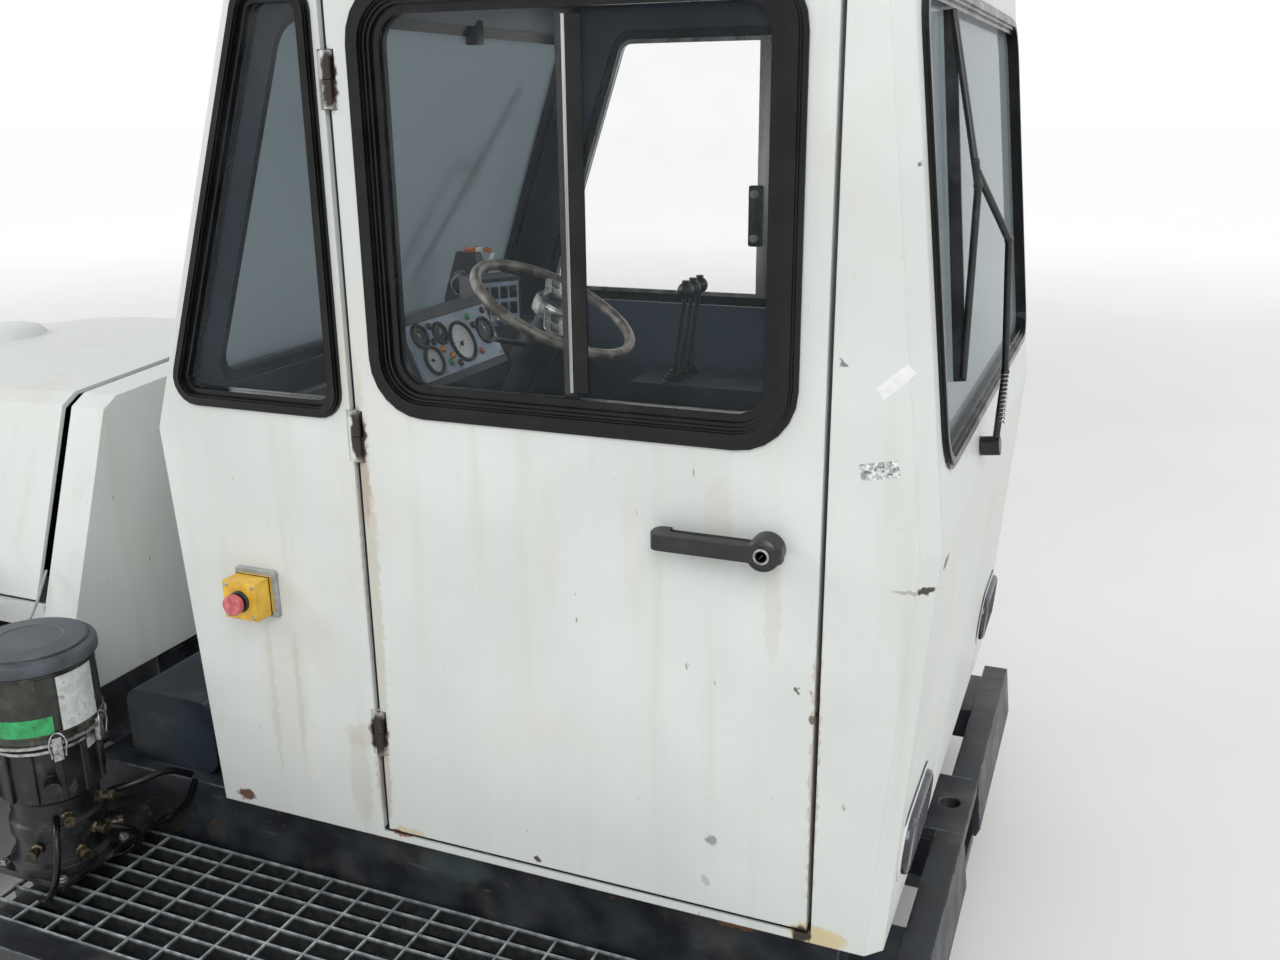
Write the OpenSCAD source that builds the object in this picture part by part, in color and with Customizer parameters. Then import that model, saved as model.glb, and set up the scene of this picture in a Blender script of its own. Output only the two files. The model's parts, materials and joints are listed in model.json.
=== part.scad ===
// Aircraft pushback tractor, in millimetres. +X is forwards, towards the hood, and +Y is the
// driver's left. The origin is on the ground, at the middle of the overall length and width.

/* [Overall] */
// Width over the side steps
overall_w = 2100; // [2060:2200]
// Distance from the rear end to the rear axle
rear_overhang = 2450; // [2420:2500]
// Distance between the axles
wheelbase = 2000; // [1960:2040]
// Distance from the front axle to the front end
front_overhang = 750; // [730:790]
// Half width of the rear bumper
rear_bumper_half = 700; // [680:720]
// Half width of the front bumper
front_bumper_half = 960; // [930:990]
// Height of the front bumper's top above the ground
front_bumper_z = 600; // [580:620]

/* [Cab] */
// Width of the cab
cab_w = 1350; // [1320:1380]
// Length of the cab at its widest point, the belt
cab_belt_l = 1423; // [1405:1455]
// Thickness of the cab's walls and doors
wall = 40; // [34:44]
// Height of the cab's bottom edge above the ground
sill_z = 480; // [470:495]
// Height of the rear belt fold above the ground
rear_belt_z = 1180; // [1150:1200]
// Height of the front belt fold above the ground
front_belt_z = 1245; // [1220:1270]
// Height of the top of the cab's walls
eave_z = 2040; // [2030:2070]
// Thickness of the roof at its middle
roof_t = 85; // [75:100]
// Setback of the cab's belt from the rear end
cab_setback = 26; // [22:40]
// Forward lean of the lower rear wall at its foot
rear_foot_in = 50; // [40:60]
// Forward lean of the upper rear wall at its top
rear_top_in = 95; // [80:105]
// Rearward lean of the lower front wall at its foot
front_foot_in = 49; // [40:60]
// Rearward lean of the windscreen for each millimetre of height
screen_rake = 0.342; // [0.32:0.01:0.36]
// Bevel of the cab's rear edges
rear_bevel = 26; // [20:30]
// Bevel of the cab's front edges
front_bevel = 8; // [6:12]
// Height of the cab's floor above the ground
floor_z = 700; // [660:740]
// Height of the bottom of the cab's side windows
window_z = 1306; // [1290:1320]
// Drop of the side windows' top below the top of the walls
window_drop = 55; // [50:70]
// Height of the dashboard's top above the ground
dash_z = 1262; // [1240:1270]
// Height of the side console's top above the ground
console_z = 1160; // [1130:1180]
// Height of the seat's cushion above the ground
seat_z = 1140; // [1100:1160]

/* [Doors] */
// Distance from the rear belt to the door's rear edge
door_rear_x = 173; // [166:186]
// Distance from the rear belt to the door's hinge axis
door_hinge_x = 983; // [966:990]
// Height of the door's bottom edge
door_z = 502; // [500:512]
// Drop of the door's top edge below the top of the walls
door_drop = 26; // [22:32]
// Gap round the door
door_gap = 8; // [6:10]
// Radius of the door's hinge barrels
hinge_r = 10; // [9:11]
// Radius of the hinge pins
hinge_pin_r = 5; // [4:6]
// Width of the rubber round the door window
door_rubber = 48; // [40:52]
// Width of the rubber round the other windows
rubber = 24; // [18:28]

/* [Hood] */
// Distance from the rear belt to the hood bulkhead's rear face
bulkhead_x = 1741; // [1727:1757]
// Length of the fixed strip behind the hood seam
strip_l = 88; // [70:95]
// Gap of the hood seam
seam = 26; // [20:30]
// Height of the hood's top at its rear end
hood_z = 1252; // [1230:1270]
// Height of the hood's side edges
hood_edge_z = 818; // [812:826]
// Half width of the hood's flat top
hood_top_y = 475; // [465:485]
// Half width of the hood at its side edges
hood_edge_y = 632; // [625:636]
// Thickness of the hood's sheet
hood_t = 8; // [6:10]
// Length of the hood's level rear stretch
hood_level_l = 620; // [580:660]
// Length of the hood from its seam to its hinge end
hood_l = 2020; // [2000:2040]
// Drop of the hood's top at its hinge end
hood_drop = 262; // [240:280]
// Slope of the hood's rear stretch, as a drop for each millimetre
hood_slope = 0.036; // [0.02:0.002:0.04]
// Height of the bulkhead's bottom edge above the ground
bulkhead_z = 624; // [615:640]
// Half width of the engine block
engine_half = 330; // [300:345]
// Length of the engine block
engine_l = 980; // [900:1050]

/* [Running gear] */
// Outer diameter of a tyre
tyre_d = 850; // [840:860]
// Width of a tyre
tyre_w = 260; // [250:270]
// Diameter of the wheel rim
rim_d = 400; // [390:420]
// Distance from the vehicle's middle to a wheel's middle
track_y = 890; // [880:900]
// Distance from the vehicle's middle to a kingpin
kingpin_y = 735; // [730:745]
// Radius of a kingpin
kingpin_r = 22; // [20:25]
// Radius of a wheel spindle
spindle_r = 40; // [36:44]
// Running clearance in a bearing
bearing_gap = 0.08; // [0.05:0.01:0.1]
// Distance of the tie rod's pins behind the kingpins
arm_l = 190; // [180:200]
// Radius of the tie rod's pins
tie_pin_r = 12; // [10:14]

/* [Frame] */
// Half width of the main frame over its plates
frame_y = 430; // [420:440]
// Thickness of the frame plates
frame_t = 40; // [30:50]
// Bottom of the frame above the ground
frame_z = 300; // [290:320]
// Top of the main frame above the ground
frame_top_z = 770; // [760:780]
// Half width of the low frame under the cab
tray_y = 640; // [630:650]
// Top of the walkway gratings above the ground
grating_z = 335; // [325:345]
// Depth of the grating bars
grating_t = 30; // [25:35]

/* [Towing] */
// Radius of the towing pins
tow_pin_r = 22; // [20:25]
// Gap between the tow jaw's plates
jaw_gap = 90; // [80:100]
// Thickness of the jaw plates
jaw_t = 30; // [25:35]

/* [Grease pump] */
// Radius of the pump's lid
lid_r = 115; // [110:118]
// Radius of the reservoir
reservoir_r = 108; // [100:109]
// Height of the reservoir's bottom above the ground
reservoir_z = 690; // [680:700]
// Height of the lid's underside above the ground
lid_z = 832; // [820:840]

/* [Hidden] */
$fn = 48;
overall_l = rear_overhang + wheelbase + front_overhang;
xr = -overall_l / 2;
xf = overall_l / 2;
window_top_z = eave_z - window_drop;
door_top_z = eave_z - door_drop;
rear_axle_x = xr + rear_overhang;
front_axle_x = rear_axle_x + wheelbase;
axle_z = tyre_d / 2;
cab_y = cab_w / 2;
cab_x = xr + cab_setback;
cab_front_x = cab_x + cab_belt_l;
screen_top_x = cab_front_x - screen_rake * (eave_z - front_belt_z);
rear_top_x = cab_x + rear_top_in;
rear_lean = atan(rear_top_in / (eave_z - rear_belt_z));
screen_lean = atan(screen_rake);
inner_y = cab_y - wall;
hinge_x = cab_x + door_hinge_x;
hinge_y = cab_y - 3;
door_x0 = cab_x + door_rear_x;
door_x1 = hinge_x - 4;
strip_x = cab_x + bulkhead_x;
seam_x = strip_x + strip_l;
hood_x = seam_x + seam;
hood_x1 = hood_x + hood_l;
deck_x0 = hood_x1 + 12;
nose_x = xf - 120;
deck_z = hood_z - hood_slope * hood_level_l - hood_drop;
liner_y = 545;
fender_z = tyre_d + 55;
step_y = overall_w / 2;
step_x0 = cab_x + 144;
step_x1 = strip_x - 20;
tray_z0 = 240;
tray_top = sill_z - 4;
main_x = strip_x + 12;
rear_pad_h = 85;
front_pad_h = 140;
liner_z = 575;
grille_z = 640;
rear_jaw_z = 305;
rear_gap = 150;
front_jaw_z = 430;
jaw_half = 110;

WHITE = "#dcded8";
STEEL = "#2b3038";
GALVANISED = "#a9abab";
PANEL = "#8fa3b8";
RUBBER = "#1b1b1d";
PLASTIC = "#202226";

// Outward normal of an outline's side from a to b, for points in anticlockwise order.
function side_normal(a, b) = [b[1] - a[1], a[0] - b[0]] / norm(b - a);

// An outline moved outwards by d, side by side.
function grown(p, d) = [
    for (i = [0 : len(p) - 1])
        let (
            m = side_normal(p[(i + len(p) - 1) % len(p)], p[i]),
            n = side_normal(p[i], p[(i + 1) % len(p)])
        )
        p[i] + d * (m + n) / (1 + m * n)
];

// An outline whose corners are arcs of radius r, each of n short sides.
function rounded(p, r, n = 6) = [
    for (i = [0 : len(p) - 1])
        let (
            b = p[i],
            u = (p[(i + len(p) - 1) % len(p)] - b) / norm(p[(i + len(p) - 1) % len(p)] - b),
            v = (p[(i + 1) % len(p)] - b) / norm(p[(i + 1) % len(p)] - b),
            half = acos(u * v) / 2,
            c = b + (u + v) / norm(u + v) * r / sin(half),
            m = -(u + v) / norm(u + v),
            turn = (u[0] * v[1] - u[1] * v[0] > 0) ? -1 : 1
        )
        for (k = [0 : n])
            let (a = turn * (90 - half) * (1 - 2 * k / n))
            c + r * [m[0] * cos(a) + m[1] * sin(a), m[1] * cos(a) - m[0] * sin(a)]
];

function rectangle(x0, x1, y0, y1) = [[x0, y0], [x1, y0], [x1, y1], [x0, y1]];

// A slab with an outline in X and Z, between two values of Y.
module slab_y(p, y0, y1) {
    translate([0, y1, 0]) rotate([90, 0, 0]) linear_extrude(y1 - y0) polygon(p);
}

// A slab with an outline in Y and Z, between two values of X.
module slab_x(p, x0, x1) {
    translate([x0, 0, 0]) rotate([90, 0, 90]) linear_extrude(x1 - x0) polygon(p);
}

module block(x0, x1, y0, y1, z0, z1) {
    translate([x0, y0, z0]) cube([x1 - x0, y1 - y0, z1 - z0]);
}

module both_sides() {
    children();
    mirror([0, 1, 0]) children();
}

// A round bar along X, Y or Z from a point.
module bar_x(p, r, l) { translate(p) rotate([0, 90, 0]) cylinder(r = r, h = l); }
module bar_y(p, r, l) { translate(p) rotate([-90, 0, 0]) cylinder(r = r, h = l); }
module bar_z(p, r, l) { translate(p) cylinder(r = r, h = l); }

// What a bevel of width c takes off the listed sides of an XZ outline, at its outer face.
// Neighbours get a slightly different width, so that no four faces meet in one point.
module outline_bevel(p, sides, y, c) {
    for (i = sides) {
        a = p[i];
        b = p[(i + 1) % len(p)];
        translate([a[0], y, a[1]]) rotate([0, -atan2(b[1] - a[1], b[0] - a[0]), 0])
            translate([-c, 0, 0]) rotate([90, 0, 90])
                linear_extrude(norm(b - a) + 2 * c) polygon([[c, -c], [c, 2 * c], [-2 * c, -c]]);
    }
}

module main_frame() {
    notch = 130;
    tie_notch = arm_l + 60;
    rear_low = axle_z + rear_pad_h;
    front_low = axle_z + front_pad_h;
    plate = [
        [main_x, frame_z + 60], [rear_axle_x - notch, frame_z + 60], [rear_axle_x - notch, rear_low],
        [rear_axle_x + notch, rear_low], [rear_axle_x + notch, frame_z], [front_axle_x - tie_notch, frame_z],
        [front_axle_x - tie_notch, front_low], [front_axle_x + notch, front_low],
        [front_axle_x + notch, frame_z + 20],
        [nose_x, frame_z + 20], [nose_x, frame_top_z - 140], [front_axle_x + 330, frame_top_z],
        [main_x, frame_top_z]
    ];
    color(STEEL) {
        both_sides() slab_y(plate, frame_y - frame_t, frame_y);
        for (x = [main_x, rear_axle_x + 250, front_axle_x - 300, nose_x - 40])
            block(x, x + 40, -frame_y + frame_t, frame_y - frame_t, frame_z + 60, frame_top_z - 160);
        block(rear_axle_x + 200, front_axle_x - tie_notch, -frame_y + frame_t, frame_y - frame_t,
            frame_z, frame_z + 30);
    }
}

// Box frame under the cab, filled with ballast.
module rear_frame() {
    color(STEEL) block(xr + rear_gap, main_x, -tray_y, tray_y, tray_z0, tray_top);
}

// Two halves beside the jaw, on brackets that leave a gap in front of the frame.
module rear_bumper() {
    top = 380;
    d = 70;
    color(STEEL) {
        difference() {
            slab_y([[xr + 8, tray_z0], [xr + d, tray_z0], [xr + d, top], [xr + 13, top], [xr, tray_z0 + 20]],
                -rear_bumper_half, rear_bumper_half);
            block(xr - 1, xr + d + 1, -jaw_half - 0.5, jaw_half + 0.5, tray_z0 - 1, top + 1);
        }
        both_sides() block(xr + d, xr + rear_gap, 440, 640, 300, top - 4);
    }
}

// The notch round the towing pin is open at the top, and a web below joins the halves.
module front_bumper() {
    bottom = frame_z - 10;
    color(STEEL) difference() {
        slab_y([[nose_x, bottom], [xf - 70, bottom], [xf, bottom + 40], [xf, front_bumper_z - 40],
            [xf - 40, front_bumper_z], [nose_x, front_bumper_z]], -front_bumper_half, front_bumper_half);
        block(nose_x - 1, xf + 1, -jaw_half - 10, jaw_half + 10, front_jaw_z - 90, front_bumper_z + 1);
    }
}

// Two plates with aligned bores, reaching out along X from a base plate.
module tow_jaw(reach, z, corner) {
    difference() {
        union() {
            for (s = [-1, 1])
                translate([0, 0, z + s * (jaw_gap + jaw_t) / 2 - jaw_t / 2])
                    linear_extrude(jaw_t) polygon([[0, -jaw_half], [reach - corner, -jaw_half],
                        [reach, -jaw_half + corner], [reach, jaw_half - corner], [reach - corner, jaw_half],
                        [0, jaw_half]]);
            block(0, 20, -jaw_half, jaw_half, z - jaw_gap / 2, z + jaw_gap / 2);
        }
        bar_z([reach - 45, 0, z - 150], tow_pin_r, 300);
    }
}

module front_tow_jaw() { color(STEEL) translate([nose_x, 0, 0]) tow_jaw(xf - nose_x, front_jaw_z, 30); }
module rear_tow_jaw() {
    color(STEEL) translate([xr + rear_gap, 0, 0]) mirror([1, 0, 0]) tow_jaw(rear_gap - 13, rear_jaw_z, 4);
}

module side_steps() {
    color(STEEL) both_sides() {
        block(step_x0, step_x1, step_y - 60, step_y, grating_z - 115, grating_z);
        for (x = [step_x0, (step_x0 + step_x1) / 2 - 20, step_x1 - 40])
            block(x, x + 40, tray_y, step_y - 60, grating_z - 95, grating_z - grating_t);
        block(step_x0, step_x1, tray_y, step_y - 60, grating_z - 99, grating_z - 95);
    }
}

module gratings() {
    bar_t = 4;
    y0 = tray_y + 12;
    y1 = step_y - 64;
    x0 = step_x0 + 2;
    x1 = step_x1 - 2;
    long_bars = 8;
    cross_bars = round((x1 - x0) / 84);
    color(GALVANISED) both_sides() {
        for (k = [0 : long_bars])
            let (y = y0 + (y1 - y0 - bar_t) * k / long_bars)
            block(x0, x1, y, y + bar_t, grating_z - grating_t, grating_z);
        for (k = [0 : cross_bars])
            let (x = x0 + (x1 - x0 - bar_t) * k / cross_bars)
            block(x, x + bar_t, y0, y1, grating_z - 9, grating_z);
    }
}

// Outline of the cab's side in X and Z.
CAB_SIDE = [
    [cab_x + rear_foot_in, sill_z], [cab_front_x - front_foot_in, sill_z], [cab_front_x, front_belt_z],
    [screen_top_x, eave_z], [rear_top_x, eave_z], [cab_x, rear_belt_z]
];

DOOR = rectangle(door_x0, door_x1, door_z, door_top_z);
DOOR_WINDOW = rectangle(hinge_x - 764, hinge_x - 47, window_z + 11, window_top_z);
QUARTER_WINDOW = [
    [hinge_x + 27, window_z - 4], [cab_front_x - 49, window_z - 4],
    [cab_front_x - 49 - screen_rake * (window_top_z - window_z + 4), window_top_z],
    [hinge_x + 27, window_top_z]
];
// The long sliding window in the right side, with its front edge along the windscreen.
side_front = cab_front_x - 134;
side_divider = hinge_x - 325;
SIDE_WINDOW = [
    [hinge_x - 779, window_z], [side_front, window_z],
    [side_front - screen_rake * (window_top_z - window_z), window_top_z], [hinge_x - 779, window_top_z]
];

module cab_floor() {
    x0 = cab_x + rear_foot_in + wall + 0.5;
    x1 = cab_front_x - wall - 60;
    plate_t = 20;
    color(STEEL) {
        block(cab_x + rear_foot_in + wall + 1, x1 + 5, -inner_y, inner_y, floor_z - plate_t, floor_z);
        both_sides() block(x0, x1, inner_y - 40, inner_y - 20, sill_z, floor_z - plate_t);
        block(x0, x1, -inner_y + 20, inner_y - 20, sill_z - 4, sill_z + 16);
    }
}

// Heights of the middles of the door's hinges.
HINGES = [for (f = [0.133, 0.507, 0.888]) door_z + f * (door_top_z - door_z)];
// Length of each half barrel, and depth of the slot round it.
hinge_l = 44;
hinge_slot = 16;

module cab_wall() {
    difference() {
        slab_y(CAB_SIDE, inner_y, cab_y);
        outline_bevel(CAB_SIDE, [1], cab_y, front_bevel);
        outline_bevel(CAB_SIDE, [2], cab_y, front_bevel + 1);
        outline_bevel(CAB_SIDE, [5], cab_y, rear_bevel);
        outline_bevel(CAB_SIDE, [4], cab_y, rear_bevel + 1);
        children();
    }
}

module cab_side_left() {
    color(WHITE) {
        cab_wall() {
            slab_y(rectangle(door_x0 - door_gap, hinge_x + door_gap, door_z - door_gap,
                door_top_z + door_gap), inner_y - 1, cab_y + 1);
            slab_y(rounded(QUARTER_WINDOW, 40), inner_y - 1, cab_y + 1);
            for (z = HINGES)
                block(hinge_x, hinge_x + hinge_slot, hinge_y - hinge_slot, cab_y + 1,
                    z - hinge_l - 1, z + hinge_l + 1);
        }
        for (z = HINGES) difference() {
            union() {
                bar_z([hinge_x, hinge_y, z + 0.5], hinge_r, hinge_l - 0.5);
                block(hinge_x + 4, hinge_x + hinge_slot + 2, hinge_y - 6, hinge_y - 1, z + 0.5, z + hinge_l);
            }
            bar_z([hinge_x, hinge_y, z - 1], hinge_pin_r + bearing_gap, hinge_l + 2);
        }
    }
}

module cab_side_right() {
    color(WHITE) mirror([0, 1, 0]) cab_wall() slab_y(rounded(SIDE_WINDOW, 60), inner_y - 1, cab_y + 1);
}

module on_rear() { translate([cab_x, 0, rear_belt_z]) rotate([0, rear_lean, 0]) children(); }
module on_screen() { translate([cab_front_x, 0, front_belt_z]) rotate([0, -screen_lean, 0]) children(); }

module on_rear_foot() {
    translate([cab_x + rear_foot_in, 0, sill_z]) rotate([0, -atan(rear_foot_in / (rear_belt_z - sill_z)), 0])
        children();
}

LAMP = rectangle(370, 614, 98, 212);
rear_up = norm([rear_top_in, eave_z - rear_belt_z]);
screen_up = norm([screen_top_x - cab_front_x, eave_z - front_belt_z]);
REAR_WINDOW = rectangle(-600, 600, 103, rear_up - 75);
SCREEN_WINDOW = rectangle(-575, 575, 70, screen_up - 65);

module cab_rear_wall() {
    foot = cab_x + rear_foot_in;
    wall_line = [
        [foot, sill_z], [foot + wall, sill_z], [cab_x + wall, rear_belt_z], [rear_top_x + wall, eave_z],
        [rear_top_x, eave_z], [cab_x, rear_belt_z]
    ];
    color(WHITE) difference() {
        slab_y(wall_line, -inner_y, inner_y);
        on_rear() slab_x(rounded(REAR_WINDOW, 70), -5, wall + 5);
        on_rear_foot() both_sides() slab_x(rounded(LAMP, 40), -5, 26);
    }
}

module cab_front_wall() {
    foot = cab_front_x - front_foot_in;
    wall_line = [
        [foot - wall, sill_z], [foot, sill_z], [cab_front_x, front_belt_z], [screen_top_x, eave_z],
        [screen_top_x - wall, eave_z], [cab_front_x - wall, front_belt_z]
    ];
    color(WHITE) difference() {
        slab_y(wall_line, -inner_y, inner_y);
        on_screen() slab_x(rounded(SCREEN_WINDOW, 70), -wall - 5, 5);
    }
}

module cab_roof() {
    x0 = rear_top_x - 12;
    x1 = screen_top_x + 16;
    top = eave_z + roof_t;
    color(WHITE) intersection() {
        slab_y([[x0, eave_z], [x1, eave_z], [x1, eave_z + 30], [x1 - 60, top - 6], [x1 - 300, top],
            [x0 + 300, top], [x0 + 60, top - 6], [x0, eave_z + 30]], -cab_y, cab_y);
        slab_x([[-cab_y, eave_z], [cab_y, eave_z], [cab_y, eave_z + 30], [cab_y - 60, top - 6],
            [cab_y - 300, top], [-cab_y + 300, top], [-cab_y + 60, top - 6], [-cab_y, eave_z + 30]],
            x0 - 1, x1 + 1);
        translate([0, 0, eave_z - 1]) linear_extrude(roof_t + 2)
            polygon(rounded(rectangle(x0, x1, -cab_y, cab_y), 30, 1));
    }
}

module cab_glass() {
    color("#8fa6a2", 0.4) {
        on_rear() slab_x(rounded(grown(REAR_WINDOW, -rubber), 46), 12, 18);
        on_screen() slab_x(rounded(grown(SCREEN_WINDOW, -rubber), 46), -18, -12);
        slab_y(rounded(grown(QUARTER_WINDOW, -rubber), 18), cab_y - 18, cab_y - 12);
        slab_y(rounded(grown(SIDE_WINDOW, -rubber), 38), -cab_y + 12, -cab_y + 18);
    }
}

// A rubber frame in a window hole: a ring in the wall and a lip over its outer face.
module ring_y(p, w, r, y0, y1) {
    difference() {
        slab_y(rounded(p, r), y0, y1);
        slab_y(rounded(grown(p, -w), r - w + 2), y0 - 1, y1 + 1);
    }
}

module ring_x(p, w, r, x0, x1) {
    difference() {
        slab_x(rounded(p, r), x0, x1);
        slab_x(rounded(grown(p, -w), r - w), x0 - 1, x1 + 1);
    }
}

// A rubber in the wall's hole with a lip and a bead over the wall's outer face.
module rubber_y(p, w, r) {
    ring_y(p, w, r, cab_y - wall + 10, cab_y);
    ring_y(grown(p, 6), w - 4, r + 6, cab_y, cab_y + 4);
    ring_y(grown(p, 1), 15, r + 1, cab_y + 4, cab_y + 8);
    ring_y(grown(p, -2), 9, r - 2, cab_y + 8, cab_y + 11);
}

module cab_window_rubbers() {
    color(RUBBER) {
        on_rear() {
            ring_x(REAR_WINDOW, rubber, 70, 0, wall - 10);
            ring_x(grown(REAR_WINDOW, 8), rubber, 78, -5, 0);
            ring_x(grown(REAR_WINDOW, 2), 12, 72, -9, -5);
        }
        on_screen() {
            ring_x(SCREEN_WINDOW, rubber, 70, -wall + 10, 0);
            ring_x(grown(SCREEN_WINDOW, 8), rubber, 78, 0, 5);
            ring_x(grown(SCREEN_WINDOW, 2), 12, 72, 5, 9);
        }
        rubber_y(QUARTER_WINDOW, rubber, 40);
        mirror([0, 1, 0]) rubber_y(SIDE_WINDOW, rubber, 60);
    }
}

// Aluminium frame and divider of the sliding window in the right side.
module window_frame() {
    p = grown(SIDE_WINDOW, -rubber);
    color(GALVANISED) mirror([0, 1, 0]) {
        difference() {
            slab_y(rounded(p, 38), inner_y + 2, inner_y + 10);
            slab_y(rounded(grown(p, -10), 28), inner_y + 1, inner_y + 11);
        }
        block(side_divider - 18, side_divider + 18, inner_y + 2, inner_y + 21, window_z + rubber + 4,
            window_top_z - rubber - 4);
    }
}

// Middle, tilt and outer radius of the steering wheel.
wheel_c = [cab_x + 848, 175, dash_z + 156];
wheel_tilt = 28;
wheel_r = 178;
// Lower edge and lean of the instrument panel's face.
face_x = cab_x + 1052;
face_z = dash_z + 14;
face_lean = 24;

// Sides of the instrument pod, and radius of the steering column.
pod_y0 = 4;
pod_y1 = 346;
column_r = 28;

module on_face() { translate([face_x, 0, face_z]) rotate([0, face_lean, 0]) children(); }

module dashboard() {
    x1 = cab_front_x - wall - 70;
    x0 = x1 - 170;
    color(PLASTIC) {
        slab_y([[x0, floor_z], [x1, floor_z], [x1, dash_z], [x1 - 60, dash_z + 12], [x0, dash_z - 30]],
            -560, 560);
        difference() {
            slab_y([[x0 + 1, dash_z - 60], [x1 - 50, dash_z - 60], [x1 - 50, dash_z + 10],
                [face_x + 80, dash_z + 146], [face_x + 58, dash_z + 146], [face_x - 2, dash_z + 4],
                [face_x + 8, dash_z - 40]], pod_y0, pod_y1);
            on_face() slab_x(rectangle(pod_y0 + 8, pod_y1 - 8, 6, 126), -20, 3);
        }
        at_switches() block(0, 90, -55, 55, dash_z - 60, dash_z + 175);
        translate(wheel_c) rotate([0, -wheel_tilt, 0]) {
            translate([0, 0, -650]) cylinder(r = column_r, h = 634);
            translate([0, 0, -20]) cylinder(r = 12, h = 14);
        }
    }
}

// Place of the pod with the rocker switches, turned towards the driver.
module at_switches() { translate([face_x + 50, -62, 0]) rotate([0, 0, -35]) children(); }

// Middle in Y, height on the face, and radius of each gauge.
GAUGES = [[150, 62, 40], [276, 44, 27], [290, 98, 22], [50, 70, 26], [218, 92, 20]];

module instrument_panel() {
    color(PANEL) {
        on_face() difference() {
            slab_x(rectangle(pod_y0 + 9, pod_y1 - 9, 7, 125), -1, 2.7);
            for (g = GAUGES) bar_x([-2, g[0], g[1]], g[2], 6);
        }
        at_switches() block(-3.3, -0.3, -48, 48, dash_z + 68, dash_z + 166);
    }
}

// Upright bracket behind the panel, for a knob.
module knob_bracket() {
    x = cab_front_x - wall - 74;
    color("#35302b") slab_y([[x, dash_z + 1.1], [x - 56, dash_z + 12.3], [x - 130, dash_z - 15.9],
        [x - 125, dash_z + 118], [x - 86, dash_z + 216], [x - 40, dash_z + 216], [x - 2, dash_z + 108]],
        -200, -166);
}

module hand_controls() {
    color(PLASTIC) {
        for (y = [-470, -420, -370]) {
            rod([cab_x + 800, y, console_z + 1], [cab_x + 770, y, console_z + 210], 6);
            translate([cab_x + 768, y, console_z + 222]) sphere(r = 20);
        }
        translate(wheel_c) rotate([0, -wheel_tilt, 0]) {
            difference() {
                translate([0, 0, -128]) cylinder(r = column_r + 14, h = 70);
                translate([0, 0, -129]) cylinder(r = column_r + 0.3, h = 72);
            }
            rod([10, 38, -84], [30, 150, -60], 5);
            rod([10, -38, -84], [30, -150, -60], 5);
        }
    }
}

module side_console() {
    color(PLASTIC) slab_y([[cab_x + 380, floor_z], [cab_x + 900, floor_z], [cab_x + 940, console_z - 40],
        [cab_x + 900, console_z], [cab_x + 420, console_z]], -560, -330);
}

module seat_base() {
    color(PLASTIC) block(cab_x + 270, cab_x + 640, -25, 375, floor_z, seat_z - 120);
}

module seat() {
    x = cab_x + 250;
    z = seat_z;
    color("#2a2c30") slab_y([[x, z - 120], [x + 440, z - 120], [x + 460, z - 80], [x + 450, z - 15],
        [x + 400, z], [x + 120, z - 20], [x + 60, z + 390], [x - 20, z + 405], [x - 40, z + 380],
        [x, z - 10]], -60, 410);
}

// A round bar from a to b.
module rod(a, b, r) {
    d = b - a;
    translate(a) rotate([0, acos(d[2] / norm(d)), atan2(d[1], d[0])]) cylinder(r = r, h = norm(d));
}

// A chain of round bars through points.
module chain(p, r) {
    for (i = [0 : len(p) - 2]) {
        rod(p[i], p[i + 1], r);
        if (i > 0) translate(p[i]) sphere(r = r * 1.25);
    }
}

module wipers() {
    k = rear_up / 865;
    m = screen_up / 840;
    color(RUBBER) {
        on_rear() {
            bar_x([-34, 205, 44 * k], 17, 33.7);
            chain([[-26, 205, 50 * k], [-47, 210, 176 * k], [-68, 284, 405 * k], [-36, 384, 520 * k]], 6);
            chain([[-3, 395, 205 * k], [-36, 382, 500 * k], [-3, 330, 760 * k]], 6);
            slab_x([[391, 200 * k], [399, 200 * k], [334, 762 * k], [326, 762 * k]], -8, 11.7);
        }
        on_screen() {
            bar_x([0.3, 95, 40 * m], 20, 32);
            bar_x([0.3, 60, 40 * m], 12, 32);
            chain([[26, 95, 50 * m], [32, -166, 470 * m], [26, -270, 446 * m]], 6);
            rod([26, 60, 50 * m], [31, -150, 444 * m], 4);
            slab_x([[-97, 180 * m], [-105, 180 * m], [-400, 640 * m], [-392, 640 * m]], -11.7, 8);
            chain([[4, -101, 184 * m], [26, -250, 412 * m], [4, -396, 636 * m]], 6);
        }
    }
}

module lamps() {
    color("#3a3d42") {
        on_rear_foot() both_sides() slab_x(rounded(grown(LAMP, -0.5), 39.5), 4, 26);
        both_sides() bar_x([nose_x, 450, frame_top_z - 50], 80, 40);
    }
}

module beacon() {
    z = eave_z + roof_t;
    color("#d98a1e") translate([(rear_top_x + screen_top_x) / 2, 0, z]) {
        cylinder(r = 75, h = 25);
        rotate_extrude() polygon([[0, 25], [62, 25], [60, 95], [45, 118], [0, 125]]);
    }
}

// Height of the hood's top above the ground at x.
function hood_top(x) =
    let (t = max(0, x - hood_x - hood_level_l) / (hood_l - hood_level_l))
    hood_z - hood_slope * min(x - hood_x, hood_level_l)
        - hood_drop * (t < 0.4 ? t * t / 0.64 : (t - 0.2) / 0.8);

// Half width of the hood's side at height z.
function hood_y(z) = hood_top_y + (hood_edge_y - hood_top_y) * (hood_z - z) / (hood_z - hood_edge_z);

// Outline of the hood in Y and Z at x, inset by d.
function hood_ring(x, d) =
    let (z = hood_top(x), e = 22)
    [
        for (s = [1, -1])
            for (k = s > 0 ? [0 : 3] : [3 : -1 : 0])
                let (p = [[hood_y(hood_edge_z), hood_edge_z - (d > 0 ? 1 : 0)],
                    [hood_y(z - 22 - e), z - 22 - e], [hood_y(z) - e, z - 22], [hood_top_y / 3, z]][k])
                [s * (p[0] - d), p[1] - (k > 0 ? d : 0)]
    ];

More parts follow.
